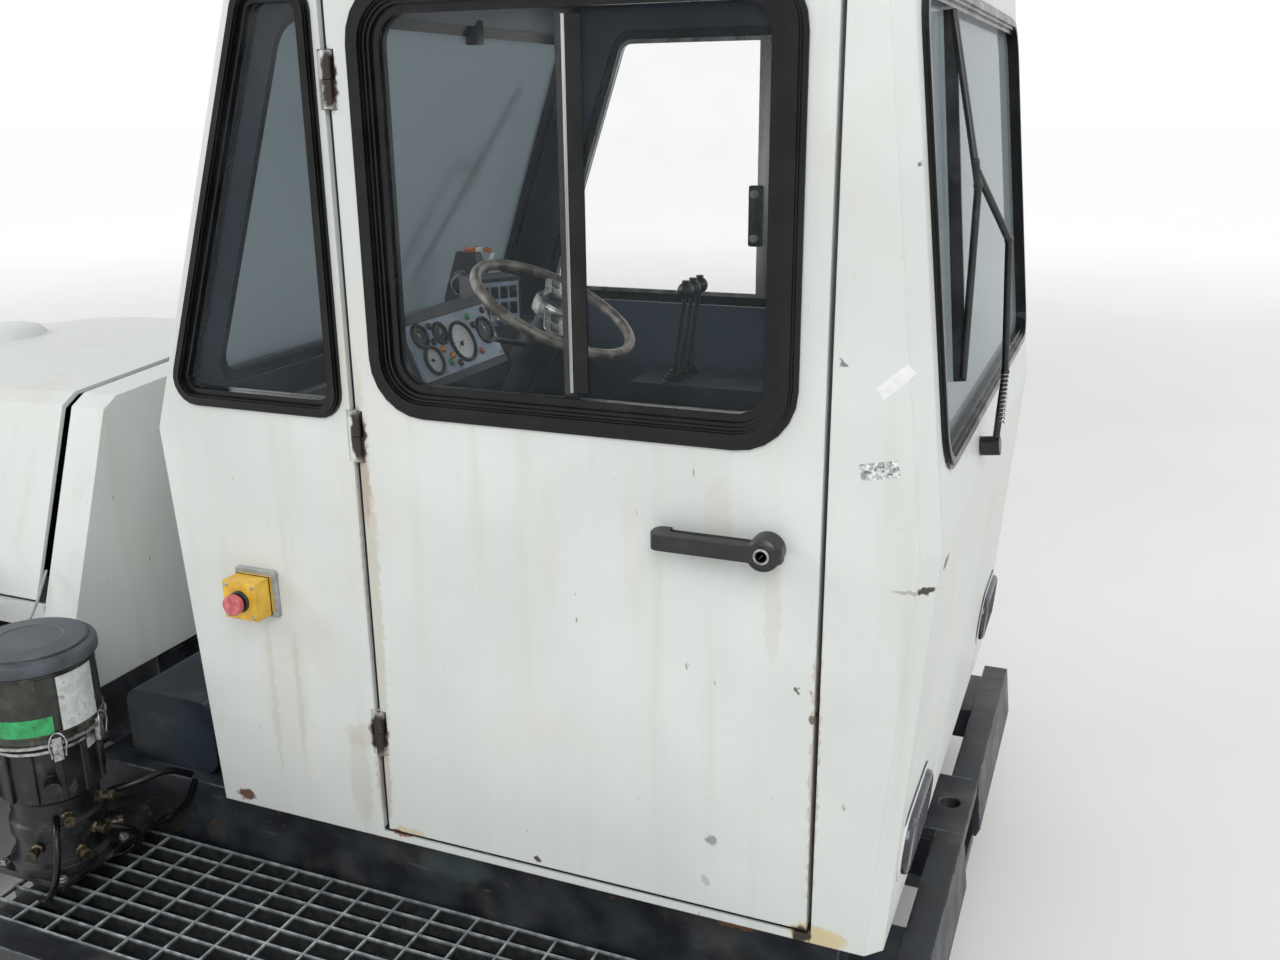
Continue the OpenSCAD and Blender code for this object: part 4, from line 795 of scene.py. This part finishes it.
class TRACTOR_OT_dials(bpy.types.Operator):
    """Makes the gauges and pilot lamps of the dial panel"""
    bl_idname = "tractor.dials"
    bl_label = "Dials"

    def execute(self, context):
        out = DIAL_FACE.to_3x3() @ -X

        def at(y, up, lift=0.0):
            return facing(DIAL_FACE @ Vector((-lift, y, up)), out)

        bezels, white, black = [], [], []
        dark_print, light_print = [], []
        for index, (y, up, radius) in enumerate(GAUGES):
            y, up, radius = y * MM, up * MM, radius * MM
            bezel = ring([(radius - 0.0035, -0.001), (radius - 0.002, 0.005), (radius + 0.001, 0.007),
                          (radius + 0.005, 0.005), (radius + 0.0055, 0.0005)], 40)
            bezel.matrix_basis = at(y, up)
            bezels.append(bezel)
            card = turned([(radius - 0.001, -0.0005), (radius - 0.001, 0.0008), (radius - 0.002, 0.0012)], 40)
            card.matrix_basis = at(y, up)
            pale = index < 2
            (white if pale else black).append(card)
            prints = dark_print if pale else light_print
            mark = slab(0.0035 * radius / 0.027, 0.0011, 0.0004, 0, 0.0001)
            prints.append(repeated(mark, [
                at(y, up, 0.0012) @ about_z(a)
                @ Matrix.Translation((0.74 * radius, 0, 0)) for a in range(-40, 230, 18)]))
            needle = joined([slab(0.78 * radius, 0.0016, 0.0006, 0, 0.0002), turned(
                [(0.13 * radius, 0), (0.13 * radius, 0.002), (0.09 * radius, 0.0026)], 20)])
            needle.matrix_basis = (at(y, up, 0.0018) @ about_z(205 - 37 * index)
                                   @ Matrix.Translation((0.2 * radius, 0, 0)))
            prints.append(needle)
        for pieces, name, slot in (
            (bezels, "gauge_bezels", "black_metal"), (white, "gauge_cards_pale", "dial_white"),
            (black, "gauge_cards_dark", "dial_black"), (dark_print, "gauge_ticks_dark", "tick_dark"),
            (light_print, "gauge_ticks_light", "tick_light"),
        ):
            settle(joined(pieces), name, slot)
        lamp = [(0.0075, 0), (0.0075, 0.003), (0.0060, 0.0045), (0.0050, 0.0062), (0.0022, 0.0070)]
        for name, slot, spots in (
            ("pilot_lamps_amber", "amber_lens", ((208, 42), (232, 60))),
            ("pilot_lamps_red", "stop_red", ((96, 30),)),
            ("pilot_lamps_green", "green_label", ((222, 30), (96, 108))),
            ("panel_knobs", "black_metal", ((88, 88), (252, 80), (246, 112), (190, 22), (30, 112))),
        ):
            settle(repeated(turned(lamp, 20), [at(y * MM, up * MM, 0.001) for y, up in spots]),
                   name, slot)
        screw = turned([(0.0042, 0), (0.0042, 0.0014), (0.0030, 0.0024), (0.0008, 0.0026)], 14)
        settle(repeated(screw, [at(y, up, 0.001) for y in (0.020, 0.330) for up in (0.014, 0.118)]),
               "panel_screws", "plated")
        return {"FINISHED"}


class TRACTOR_OT_switches(bpy.types.Operator):
    """Makes the rocker switches, the knob on its bracket and the marks beside it"""
    bl_idname = "tractor.switches"
    bl_label = "Switches"

    def execute(self, context):
        out = SWITCHES.to_3x3() @ -X

        def at(across, up):
            return facing(SWITCHES @ Vector((-0.0033, across, up)), out, 90)

        spots = [(a, u) for u in (0.026, -0.010) for a in (-0.034, -0.011, 0.012, 0.035)]
        frames = slab(0.0275, 0.0175, 0.0022, 0.002, 0.0008)
        settle(repeated(frames, [at(*s) for s in spots]), "rocker_frames", "trim_plastic")
        rocker = slab(0.022, 0.0125, 0.0062, 0.0012, 0.0012)
        pick(rocker, lambda middle, normal: normal.z > 0.99)
        bpy.ops.transform.rotate(value=math.radians(9), orient_axis="Y", center_override=(0, 0, 0.006))
        done()
        settle(repeated(rocker, [at(*s) for s in spots]), "rockers", "black_metal")
        dot = turned([(0.0022, 0.0055), (0.0022, 0.0072), (0.0012, 0.0078)], 12)
        settle(repeated(dot, [at(a, u + 0.006) for a, u in spots[::3]]), "rocker_dots", "amber_lens")
        keyed = turned([(0.011, 0), (0.011, 0.003), (0.008, 0.005), (0.007, 0.011), (0.005, 0.012)], 24)
        settle(repeated(keyed, [at(a, -0.037) for a in (-0.030, 0.0, 0.030)]), "switch_barrels", "plated")
        place = facing((-1.318, -0.166, 1.405), Y)
        settle(turned([(0.026, 0), (0.026, 0.004), (0.023, 0.006), (0.019, 0.007), (0.019, 0.020),
                       (0.015, 0.024), (0.004, 0.025)], 36), "bracket_knob", "black_metal", place)
        settle(ring([(0.0275, 0.0), (0.0275, 0.005), (0.0300, 0.005), (0.0300, 0.0)], 36), "knob_ring",
               "plated", place)
        clip = slab(0.022, 0.012, 0.010, 0.003, 0.002)
        for name, slot, spots in (
            ("bracket_clips_amber", "amber_lens", ((-1.345, 1.478, 20), (-1.381, 1.478, -8))),
            ("bracket_clips_pale", "tick_light", ((-1.363, 1.479, 4), (-1.399, 1.466, 60))),
            ("bracket_clips_red", "stop_red", ((-1.328, 1.476, -15),)),
        ):
            only(clip)
            bpy.ops.object.duplicate(linked=False)
            settle(repeated(context.object, [
                Matrix.Translation((x, -0.180, z)) @ Matrix.Rotation(math.radians(spin), 4, "Y")
                for x, z, spin in spots]), name, slot)
        bpy.data.objects.remove(clip)
        return {"FINISHED"}


class TRACTOR_OT_controls(bpy.types.Operator):
    """Makes the steering wheel's hub, the lever boots and the pedals"""
    bl_idname = "tractor.controls"
    bl_label = "Controls"

    def execute(self, context):
        hub = ring([(0.0425, -0.013), (0.0440, -0.002), (0.0440, 0.010), (0.0400, 0.0165), (0.030, 0.0185),
                    (0.027, 0.0160)], 40)
        plates = [slab(0.100, 0.044, 0.0035, 0.014, 0.0012) for _ in SIDES]
        for plate, side in zip(plates, SIDES):
            plate.matrix_basis = (about_z(118 if side > 0 else -62)
                                  @ Matrix.Translation((0.088, 0, 0.0035)))
        settle(joined([hub, *plates]), "wheel_hub_plate", "plated", HAND_WHEEL, "wheel_hand")
        hole = slab(0.040, 0.018, 0.0012, 0.0085, 0.0004)
        settle(repeated(hole, [about_z(a) @ Matrix.Translation((d, 0, 0.0068))
                               for a in (118, -62) for d in (0.070, 0.116)]),
               "wheel_spoke_holes", "black_metal", HAND_WHEEL, "wheel_hand")
        settle(turned([(0.027, 0.012), (0.027, 0.019), (0.022, 0.024), (0.012, 0.027), (0.003, 0.0275)], 36),
               "horn_button", "black_metal", HAND_WHEEL, "wheel_hand")
        boot = turned([(0.032, 0), (0.030, 0.004), (0.022, 0.006), (0.024, 0.012), (0.017, 0.014),
                       (0.019, 0.020), (0.012, 0.022), (0.013, 0.027), (0.0065, 0.030)], 28)
        settle(repeated(boot, [facing((-1.774, y, 1.160), Vector((-0.13, 0, 1))) for y in LEVER_ROWS]),
               "lever_boots", "rubber")
        cap = turned([(0.0085, 0), (0.0095, 0.002), (0.0085, 0.005), (0.0020, 0.0058)], 20)
        settle(repeated(cap, [facing((-1.806, y, 1.401), Z) for y in LEVER_ROWS]),
               "lever_caps", "black_metal")
        pedals, rows = [], []
        for y, wide in PEDALS:
            lean = Matrix.Translation((-1.800, y, 0.775)) @ Matrix.Rotation(-0.75, 4, "Y")
            pad = slab(0.130, wide, 0.010, 0.010, 0.003)
            pad.matrix_basis = lean
            pedals.append(pad)
            for bend, end in (((-1.765, y, 0.765), (-1.740, y, 0.80)),
                              ((-1.790, y, 0.725), (-1.770, y, 0.702))):
                pedals.append(tube([(-1.800, y, 0.772), bend, end], 0.008, False))
            half = int(wide / 0.032)
            rows += [lean @ Matrix.Translation((0, k * 0.013, 0.0095)) for k in range(-half, half + 1)]
        settle(joined(pedals), "pedals", "black_metal")
        grips = slab(0.112, 0.004, 0.003, 0, 0.001)
        settle(repeated(grips, rows), "pedal_grips", "rubber")
        return {"FINISHED"}


class TRACTOR_OT_door_trim(bpy.types.Operator):
    """Makes the handle's boss and lock, the window strip, the tape and the far window's latch"""
    bl_idname = "tractor.door_trim"
    bl_label = "Door trim"

    def execute(self, context):
        door = "cab_door_left"
        boss = facing(HANDLE, Y)
        settle(turned([(0.027, 0), (0.027, 0.030), (0.0255, 0.036), (0.021, 0.0395), (0.0155, 0.0405),
                       (0.0145, 0.0385)], 40), "handle_boss", "black_metal", boss, door)
        settle(joined([ring([(0.0125, 0.037), (0.0125, 0.0415), (0.0095, 0.0420), (0.0090, 0.037)], 32),
                       turned([(0.0094, 0.036), (0.0094, 0.0405), (0.0080, 0.0410)], 32)]),
               "door_lock", "plated", boss, door)
        settle(slab(0.0095, 0.0018, 0.0006, 0.0004, 0.0002), "door_lock_slot", "tick_dark",
               boss @ Matrix.Translation((0, 0, 0.0408)) @ Matrix.Rotation(0.9, 4, "Z"), door)
        low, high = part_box("door_slider_left")
        run, mid = high.z - low.z - 0.040, (low.z + high.z) / 2
        for name, slot, sizes, point, spin, body in (
            ("handle_escutcheon", "black_metal", (0.150, 0.020, 0.006, 0.008, 0.002), (-2.225, 0.6745, 1.163),
             0, door),
            ("door_glass_channel", "aluminium", (run, 0.0060, 0.0035, 0.0005, 0.0008), (-1.9935, 0.6588, mid),
             90, door),
            ("door_glass_seal", "rubber", (run, 0.0250, 0.0030, 0.001, 0.001), (-2.0095, 0.6588, mid),
             90, door),
            ("cloth_tape", "tape", (0.058, 0.019, 0.0004, 0.001, 0.0001), (-2.499, 0.6748, 1.432),
             43, "chassis"),
            ("label_remnant", "old_label", (0.056, 0.025, 0.0003, 0.001, 0.0001), (-2.482, 0.6749, 1.301),
             12, "chassis"),
            ("door_front_lip", "white_paint", (0.775, 0.0095, 0.006, 0.001, 0.0015), (-1.5785, 0.6675, 0.915),
             90, door),
        ):
            settle(slab(*sizes), name, slot, facing(point, Y, spin), body)
        low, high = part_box("door_left")
        sill_seal = slab(high.x - low.x - 0.004, 0.020, 0.0042, 0.001, 0.001)
        settle(sill_seal, "door_sill_seal", "rubber",
               facing(((low.x + high.x) / 2, 0.6630, low.z - 0.0046), Z))
        latch = joined([slab(0.150, 0.034, 0.016, 0.006, 0.003), slab(0.090, 0.014, 0.024, 0.004, 0.002)])
        place = facing((-1.896, -0.638, 1.536), Y, 90)
        settle(latch, "slider_latch", "black_metal", place)
        knob = turned([(0.011, 0.014), (0.011, 0.022), (0.009, 0.025), (0.003, 0.026)], 24)
        settle(repeated(knob, [Matrix.Translation((d, 0, 0)) for d in (0.054, -0.054)]),
               "slider_latch_knobs", "grey_plastic", place)
        bracket = slab(0.060, 0.030, 0.030, 0.004, 0.004)
        settle(bracket, "screen_bracket", "black_metal", facing((-1.412, -0.087, 1.960), -X, 90))
        return {"FINISHED"}


class TRACTOR_OT_stops(bpy.types.Operator):
    """Makes the emergency stops' buttons, collars, bases and screws"""
    bl_idname = "tractor.stops"
    bl_label = "Emergency stops"

    def execute(self, context):
        faces = {side: facing((STOP.x, side * 0.729, STOP.z), Y * side) for side in SIDES}
        button = turned([(0.0110, 0), (0.0110, 0.010), (0.0150, 0.0115), (0.0188, 0.0125), (0.0200, 0.0150),
                         (0.0200, 0.0215), (0.0188, 0.0245), (0.0160, 0.0258), (0.0120, 0.0250),
                         (0.0040, 0.0240)], 40)
        button = settle(repeated(button, faces.values()), "mushroom_buttons", "stop_red")
        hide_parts("stop_buttons")
        collar = ring([(0.0125, 0), (0.0125, 0.0050), (0.0180, 0.0050), (0.0205, 0.0035), (0.0205, 0)], 40)
        settle(repeated(collar, faces.values()), "stop_collars", "black_metal")
        screw = turned([(0.0038, 0), (0.0038, 0.0012), (0.0030, 0.0020), (0.0012, 0.0014)], 14)
        settle(repeated(screw, [face @ Matrix.Translation((a, b, 0)) for face in faces.values()
                                for a in (-0.029, 0.029) for b in (-0.029, 0.029)]),
               "stop_screws", "plated")
        lid = ring([(0.0516, -0.0395), (0.0516, -0.0375), (0.0524, -0.0375), (0.0524, -0.0395)], 4)
        lid.matrix_basis = Matrix.Rotation(math.pi / 4, 4, "Z")
        settle(repeated(lid, faces.values()), "stop_lid_seams", "rubber")
        base = slab(0.092, 0.092, 0.0085, 0.006, 0.003)
        settle(repeated(base, [facing((STOP.x, side * 0.6748, STOP.z), Y * side) for side in SIDES]),
               "stop_bases", "grey_plastic")
        return {"FINISHED"}


class TRACTOR_OT_pump(bpy.types.Operator):
    """Makes the grease pump's lid, bands, blank labels, fittings, hoses and cable"""
    bl_idname = "tractor.pump"
    bl_label = "Grease pump"

    def execute(self, context):
        def at(z):
            return Matrix.Translation((PUMP.x, PUMP.y, z))

        lid = turned([(0.1165, 0.8280), (0.1165, 0.8440), (0.1140, 0.8490), (0.1060, 0.8540), (0.1020, 0.8545),
                      (0.1000, 0.8580), (0.0600, 0.8615), (0.0585, 0.8600), (0.0100, 0.8605)], 64)
        settle(lid, "reservoir_lid", "lid_plastic", at(0))
        settle(joined([ring([(0.1085, z), (0.1105, z + 0.002), (0.1105, z + 0.006), (0.1085, z + 0.008)], 64)
                       for z in (0.700, 0.818)]), "reservoir_rims", "reservoir_plastic", at(0))
        for name, slot, begin, end, low, high in (
            ("reservoir_label", "blank_label", 158, 200, 0.706, 0.815),
            ("reservoir_band", "green_label", 100, 150, 0.706, 0.742),
            ("body_label", "blank_label", 188, 214, 0.640, 0.676),
        ):
            radius = 0.1083 if low > 0.7 else 0.0923
            settle(swept(radius, 0.0008, high - low, begin, end), name, slot, at(low))
        settle(joined([ring([(0.1090, 0.684), (0.1130, 0.684), (0.1130, 0.690), (0.1090, 0.690)], 64),
                       ring([(0.0935, 0.664), (0.0975, 0.664), (0.0975, 0.670), (0.0935, 0.670)], 64)]),
               "clamp_bands", "plated", at(0))
        latch = []
        for angle in (150, 200, 270, 30):
            turn = about_z(angle)
            hook = slab(0.010, 0.018, 0.046, 0.002, 0.002)
            hook.matrix_basis = turn @ Matrix.Translation((0.1080, 0, 0.652))
            loop = tube([turn @ Vector(p) for p in ((0.115, -0.012, 0.660), (0.117, -0.012, 0.700),
                                                     (0.112, 0.0, 0.708), (0.117, 0.012, 0.700),
                                                     (0.115, 0.012, 0.660))], 0.0018)
            latch += [hook, loop]
        settle(joined(latch), "clamp_latches", "plated", at(0))
        flutes = slab(0.012, 0.016, 0.100, 0.003, 0.003)
        settle(repeated(flutes, [about_z(a) @ Matrix.Translation((0.093, 0, 0.562))
                                 for a in range(0, 360, 30)]), "pump_ribs", "pump_plastic", at(0))
        housing = turned([(0.094, 0.400), (0.094, 0.418), (0.082, 0.424), (0.080, 0.470), (0.086, 0.474),
                          (0.086, 0.500), (0.080, 0.504), (0.080, 0.548), (0.090, 0.560)], 48)
        settle(housing, "pump_housing", "pump_plastic", at(0))
        nut = turned([(0.0125, 0), (0.0125, 0.010), (0.0100, 0.0125)], 6)
        stub = turned([(0.0085, 0.008), (0.0085, 0.024), (0.0105, 0.025), (0.0105, 0.034)], 18)
        fitting = joined([nut, stub])
        spots = ((160, 0.44), (185, 0.47), (205, 0.52), (150, 0.52), (225, 0.44), (110, 0.46))
        settle(repeated(fitting, [
            at(z) @ about_z(a) @ facing((0.078, 0, 0), X) for a, z in spots]),
            "grease_fittings", "dull_brass")
        hoses = (
            ((-1.101, 0.645, 0.480), (-1.085, 0.652, 0.440), (-1.048, 0.668, 0.396), (-1.005, 0.690, 0.378),
             (-0.975, 0.740, 0.400), (-0.962, 0.772, 0.440)),
            ((-1.035, 0.830, 0.470), (-1.062, 0.800, 0.452), (-1.064, 0.770, 0.415), (-1.030, 0.765, 0.376),
             (-0.985, 0.795, 0.362), (-0.930, 0.835, 0.352), (-0.880, 0.880, 0.344)),
            ((-1.000, 0.900, 0.520), (-1.030, 0.930, 0.500), (-1.040, 0.950, 0.440), (-1.010, 0.950, 0.380),
             (-0.960, 0.930, 0.350)),
            ((-1.020, 0.790, 0.520), (-1.060, 0.760, 0.530), (-1.090, 0.700, 0.530), (-1.104, 0.655, 0.500)),
        )
        settle(joined([tube(points, 0.0065) for points in hoses]), "grease_hoses", "rubber", angle=60)
        settle(tube([(-0.749, 0.622, 0.886), (-0.765, 0.650, 0.868), (-0.785, 0.690, 0.840),
                     (-0.800, 0.740, 0.800), (-0.836, 0.790, 0.760)], 0.0028), "pump_cable",
               "grey_plastic", angle=60)
        bolt = joined([turned([(0.0105, 0), (0.0105, 0.0018), (0.0100, 0.0020)], 16),
                       turned([(0.0080, 0.0018), (0.0080, 0.0075), (0.0066, 0.0088)], 6)])
        settle(repeated(bolt, [Matrix.Translation((PUMP.x + a, PUMP.y + b, 0.400))
                               for a in (-0.076, 0.076) for b in (-0.076, 0.076)]),
               "pump_bolts", "plated")
        return {"FINISHED"}


class TRACTOR_OT_lamps(bpy.types.Operator):
    """Makes the lenses and rims of the lamps and the beacon"""
    bl_idname = "tractor.lamps"
    bl_label = "Lamps"

    def execute(self, context):
        out = REAR_FOOT.to_3x3() @ -X
        places = [facing(REAR_FOOT @ Vector((0.0, side * 0.492, 0.155)), out) for side in SIDES]
        across = [place @ Matrix.Rotation(math.pi / 2, 4, "Z") if abs((place.to_3x3() @ X).y) < 0.5 else place
                  for place in places]
        gasket = slab(0.262, 0.132, 0.004, 0.060, 0.002)
        settle(repeated(gasket, across), "rear_lamp_rims", "white_paint")
        lens = slab(0.236, 0.108, 0.015, 0.048, 0.008)
        settle(repeated(lens, across), "rear_lamp_lenses", "rear_lens", angle=45)
        ribs = slab(0.0020, 0.090, 0.0010, 0, 0.0004)
        settle(repeated(ribs, [place @ Matrix.Translation((d * 0.016, 0, 0.0148))
                               for place in across for d in range(-5, 6)]),
               "rear_lens_ribs", "rear_lens")
        heads = [facing((2.5195, side * 0.45, 0.720), X) for side in SIDES]
        lens = turned([(0.070, 0), (0.070, 0.004), (0.064, 0.010), (0.050, 0.015), (0.026, 0.018),
                       (0.004, 0.019)], 40)
        settle(repeated(lens, heads), "head_lamp_lenses", "head_lens", angle=45)
        bezel = ring([(0.068, -0.002), (0.069, 0.008), (0.075, 0.010), (0.081, 0.006), (0.081, -0.010),
                      (0.079, -0.010)], 48)
        settle(repeated(bezel, heads), "head_lamp_rims", "plated")
        turn_lamp = slab(0.090, 0.045, 0.020, 0.018, 0.008)
        settle(repeated(turn_lamp, [facing((2.4795, side * 0.585, 0.700), X) for side in SIDES]),
               "front_turn_lamps", "amber_lens", angle=45)
        settle(ring([(0.060, 0.0005), (0.078, 0.0005), (0.078, 0.020), (0.072, 0.028), (0.0635, 0.0285),
                     (0.0625, 0.020)], 64), "beacon_base", "black_metal", BEACON)
        rib = slab(0.0030, 0.0050, 0.064, 0, 0.001)
        settle(repeated(rib, [about_z(a) @ Matrix.Translation((0.0615, 0, 0.029))
                              for a in range(0, 360, 15)]), "beacon_ribs", "amber_lens", BEACON)
        return {"FINISHED"}


class TRACTOR_OT_wiper_trim(bpy.types.Operator):
    """Makes the wipers' pivots, springs and blade clips"""
    bl_idname = "tractor.wiper_trim"
    bl_label = "Wiper trim"

    def execute(self, context):
        rear_out = REAR_WALL.to_3x3() @ -X
        screen_out = SCREEN.to_3x3() @ X
        cap = turned([(0.0150, 0), (0.0150, 0.002), (0.0105, 0.004), (0.0105, 0.011), (0.0070, 0.014)], 24)
        spots = [facing(REAR_WALL @ Vector((-0.0335, 0.205, 0.044)), rear_out),
                 facing(SCREEN @ Vector((0.0315, 0.095, 0.040)), screen_out),
                 facing(SCREEN @ Vector((0.0315, 0.060, 0.040)), screen_out)]
        low, high = CAD_BOX
        spots = [s for s in spots if s.translation.x - 0.016 > low[0]]
        settle(repeated(cap, spots), "wiper_pivots", "black_metal")
        coils = []
        for wall, points in (
            (REAR_WALL, ((-0.036, 0.206, 0.085), (-0.047, 0.210, 0.176))),
            (SCREEN, ((0.029, 0.055, 0.105), (0.030, 0.010, 0.185))),
        ):
            a, b = (wall @ Vector(p) for p in points)
            along = (b - a).normalized()
            side = along.cross(Y).normalized()
            other = along.cross(side)
            turns = [side * math.cos(1.2 * k) + other * math.sin(1.2 * k) for k in range(65)]
            coils.append(tube([a + (b - a) * k / 64 + 0.0062 * turn for k, turn in enumerate(turns)], 0.0011))
        settle(joined(coils), "wiper_springs", "plated", angle=60)
        clip = slab(0.050, 0.014, 0.010, 0.003, 0.002)
        settle(repeated(clip, [
            facing(REAR_WALL @ Vector((-0.030, 0.383, 0.515)), rear_out, 95),
            facing(SCREEN @ Vector((0.024, -0.262, 0.443)), screen_out, 30)]),
            "wiper_clips", "black_metal")
        return {"FINISHED"}


class TRACTOR_OT_hood_trim(bpy.types.Operator):
    """Makes the hood's air cap and latches, the grille wires and the cowl louvres"""
    bl_idname = "tractor.hood_trim"
    bl_label = "Hood trim"

    def execute(self, context):
        settle(turned([(0.112, 0), (0.112, 0.012), (0.104, 0.020), (0.098, 0.040), (0.086, 0.052),
                       (0.060, 0.060), (0.010, 0.063)], 48), "air_cap", "white_paint",
               facing((0.010, -0.010, 1.196), Vector((0.03, 0, 1))), "hood", 40)
        latch = joined([slab(0.070, 0.030, 0.008, 0.006, 0.003), slab(0.050, 0.014, 0.014, 0.005, 0.004)])
        settle(repeated(latch, [facing((x, side * 0.6315, 0.862), Y * side, 90) for x in (-0.30, 0.62)
                                for side in SIDES]), "hood_latches", "black_metal", body="hood")
        wire = [tube([(2.4500, y / 100, 0.645), (2.4500, y / 100, 0.910)], 0.0016, False)
                for y in range(-34, 35, 2)]
        settle(joined(wire), "grille_wires", "black_metal", angle=60)
        louvre = slab(0.150, 0.014, 0.010, 0.004, 0.004)
        settle(repeated(louvre, [facing((1.62 + 0.03 * k, side * 0.6300, 0.865), Y * side, 90)
                                 for k in range(8) for side in SIDES]),
               "cowl_louvres", "white_paint")
        return {"FINISHED"}


class TRACTOR_OT_fasteners(bpy.types.Operator):
    """Makes the bolts, box locks and reflectors"""
    bl_idname = "tractor.fasteners"
    bl_label = "Fasteners"

    def execute(self, context):
        bolt = joined([turned([(0.0190, 0), (0.0190, 0.0028), (0.0175, 0.0032)], 20),
                       turned([(0.0140, 0.0028), (0.0140, 0.0120), (0.0115, 0.0140)], 6)])
        spots = [facing((2.535, side * y, 0.600), Z) for y in (0.30, 0.45, 0.75, 0.88) for side in SIDES]
        spots += [facing((-2.490, side * 0.640, z), Y * side) for z in (0.320, 0.356) for side in SIDES]
        settle(repeated(bolt, spots), "bumper_bolts", "plated")
        lock = turned([(0.014, 0), (0.014, 0.003), (0.011, 0.005), (0.0105, 0.004), (0.004, 0.0045)], 28)
        settle(repeated(lock, [facing((x, side * 1.0355, 0.740), Y * side) for x in (0.58, 1.06)
                               for side in SIDES]), "box_locks", "plated")
        for name, slot, x in (("side_reflectors_amber", "amber_lens", 1.24),
                              ("side_reflectors_red", "rear_lens", 0.44)):
            disc = turned([(0.034, 0), (0.034, 0.004), (0.030, 0.0065), (0.020, 0.0078), (0.004, 0.0082)], 32)
            settle(repeated(disc, [facing((x, side * 1.0355, 0.42), Y * side) for side in SIDES]), name,
                   slot)
        plate = slab(0.160, 0.060, 0.003, 0.006, 0.001, 0.0006)
        settle(plate, "blank_plate", "blank_label", facing((-1.3070, -0.36, 1.262), Z))
        return {"FINISHED"}


class TRACTOR_OT_studio(bpy.types.Operator):
    """Makes the floor, the light and the camera"""
    bl_idname = "tractor.studio"
    bl_label = "Studio"

    def execute(self, context):
        scene = context.scene
        looks = scene.tractor_looks
        scene.view_settings.view_transform = "Standard"
        floor = start("plane", size=200, location=(0, 0, 0))
        floor.name = "floor"
        material = finish("pale matt floor", "f2f2f0", "f6f6f4", 1.5, rough=(0.85, 0.95), relief=())
        floor.data.materials.append(material)
        tree = material.node_tree
        place = node(tree, "ShaderNodeTexCoord", output="Object")
        reach = node(tree, "ShaderNodeVectorMath", {0: place}, 1, operation="LENGTH")
        glow = node(tree, "ShaderNodeMapRange", {
            "Value": reach, "From Min": 3.0, "From Max": 16.0, "To Max": 0.46}, interpolation_type="SMOOTHSTEP")
        shader = tree.nodes["Principled BSDF"]
        shader.inputs["Emission Color"].default_value = (1, 1, 1, 1)
        tree.links.new(node(tree, "ShaderNodeMath", {0: glow, 1: looking(tree)}, operation="MULTIPLY"),
                       shader.inputs["Emission Strength"])

        world = bpy.data.worlds.new("studio")
        scene.world = world
        world.use_nodes = True
        tree = world.node_tree
        sky = node(tree, "ShaderNodeBackground", {"Color": (1, 1, 1, 1), "Strength": looks.light_level})
        backdrop = node(tree, "ShaderNodeBackground", {"Color": (1, 1, 1, 1), "Strength": 1.0})
        tree.links.new(node(tree, "ShaderNodeMixShader", {0: looking(tree), 1: sky, 2: backdrop}),
                       tree.nodes["World Output"].inputs["Surface"])

        for name, place, aim, size, power in (
            ("key light", (-5.0, 6.0, 6.5), (-1.6, 0.0, 1.2), 5.0, 350),
            ("fill light", (-8.0, -3.0, 4.0), (-1.0, 0.0, 1.0), 4.0, 90),
            ("front light", (7.5, 4.0, 6.0), (1.0, 0.0, 1.0), 5.0, 420),
        ):
            bpy.ops.object.light_add(type="AREA", location=place)
            lamp = context.object
            lamp.name = name
            lamp.data.energy = power
            lamp.data.size = size
            lamp.rotation_euler = (Vector(aim) - Vector(place)).to_track_quat("-Z", "Y").to_euler()

        bpy.ops.object.camera_add(location=looks.eye, rotation=Euler(looks.turn))
        camera = context.object
        camera.name = "camera"
        camera.data.lens = looks.lens
        camera.data.sensor_width = 36
        camera.data.sensor_fit = "HORIZONTAL"
        camera.data.clip_start = 0.05
        scene.camera = camera
        return {"FINISHED"}


class TRACTOR_PT_panel(bpy.types.Panel):
    """Lists the tractor's pieces"""
    bl_label = "Pushback tractor"
    bl_space_type = "VIEW_3D"
    bl_region_type = "UI"
    bl_category = "Tractor"

    def draw(self, context):
        for name in TractorLooks.__annotations__:
            self.layout.prop(context.scene.tractor_looks, name)
        for operator in OPERATORS:
            self.layout.operator(operator.bl_idname)


OPERATORS = (
    TRACTOR_OT_studio, TRACTOR_OT_finishes, TRACTOR_OT_tyres, TRACTOR_OT_wheel_nuts, TRACTOR_OT_seat,
    TRACTOR_OT_dials, TRACTOR_OT_switches, TRACTOR_OT_controls, TRACTOR_OT_door_trim, TRACTOR_OT_stops,
    TRACTOR_OT_pump, TRACTOR_OT_lamps, TRACTOR_OT_wiper_trim, TRACTOR_OT_hood_trim, TRACTOR_OT_fasteners,
)
CLASSES = (TractorLooks, *OPERATORS, TRACTOR_PT_panel)


def register():
    for cls in CLASSES:
        bpy.utils.register_class(cls)
    bpy.types.Scene.tractor_looks = bpy.props.PointerProperty(type=TractorLooks)


def unregister():
    del bpy.types.Scene.tractor_looks
    for cls in reversed(CLASSES):
        bpy.utils.unregister_class(cls)


def main():
    register()
    for operator in OPERATORS:
        group, name = operator.bl_idname.split(".")
        getattr(getattr(bpy.ops, group), name)()


if __name__ == "__main__":
    main()
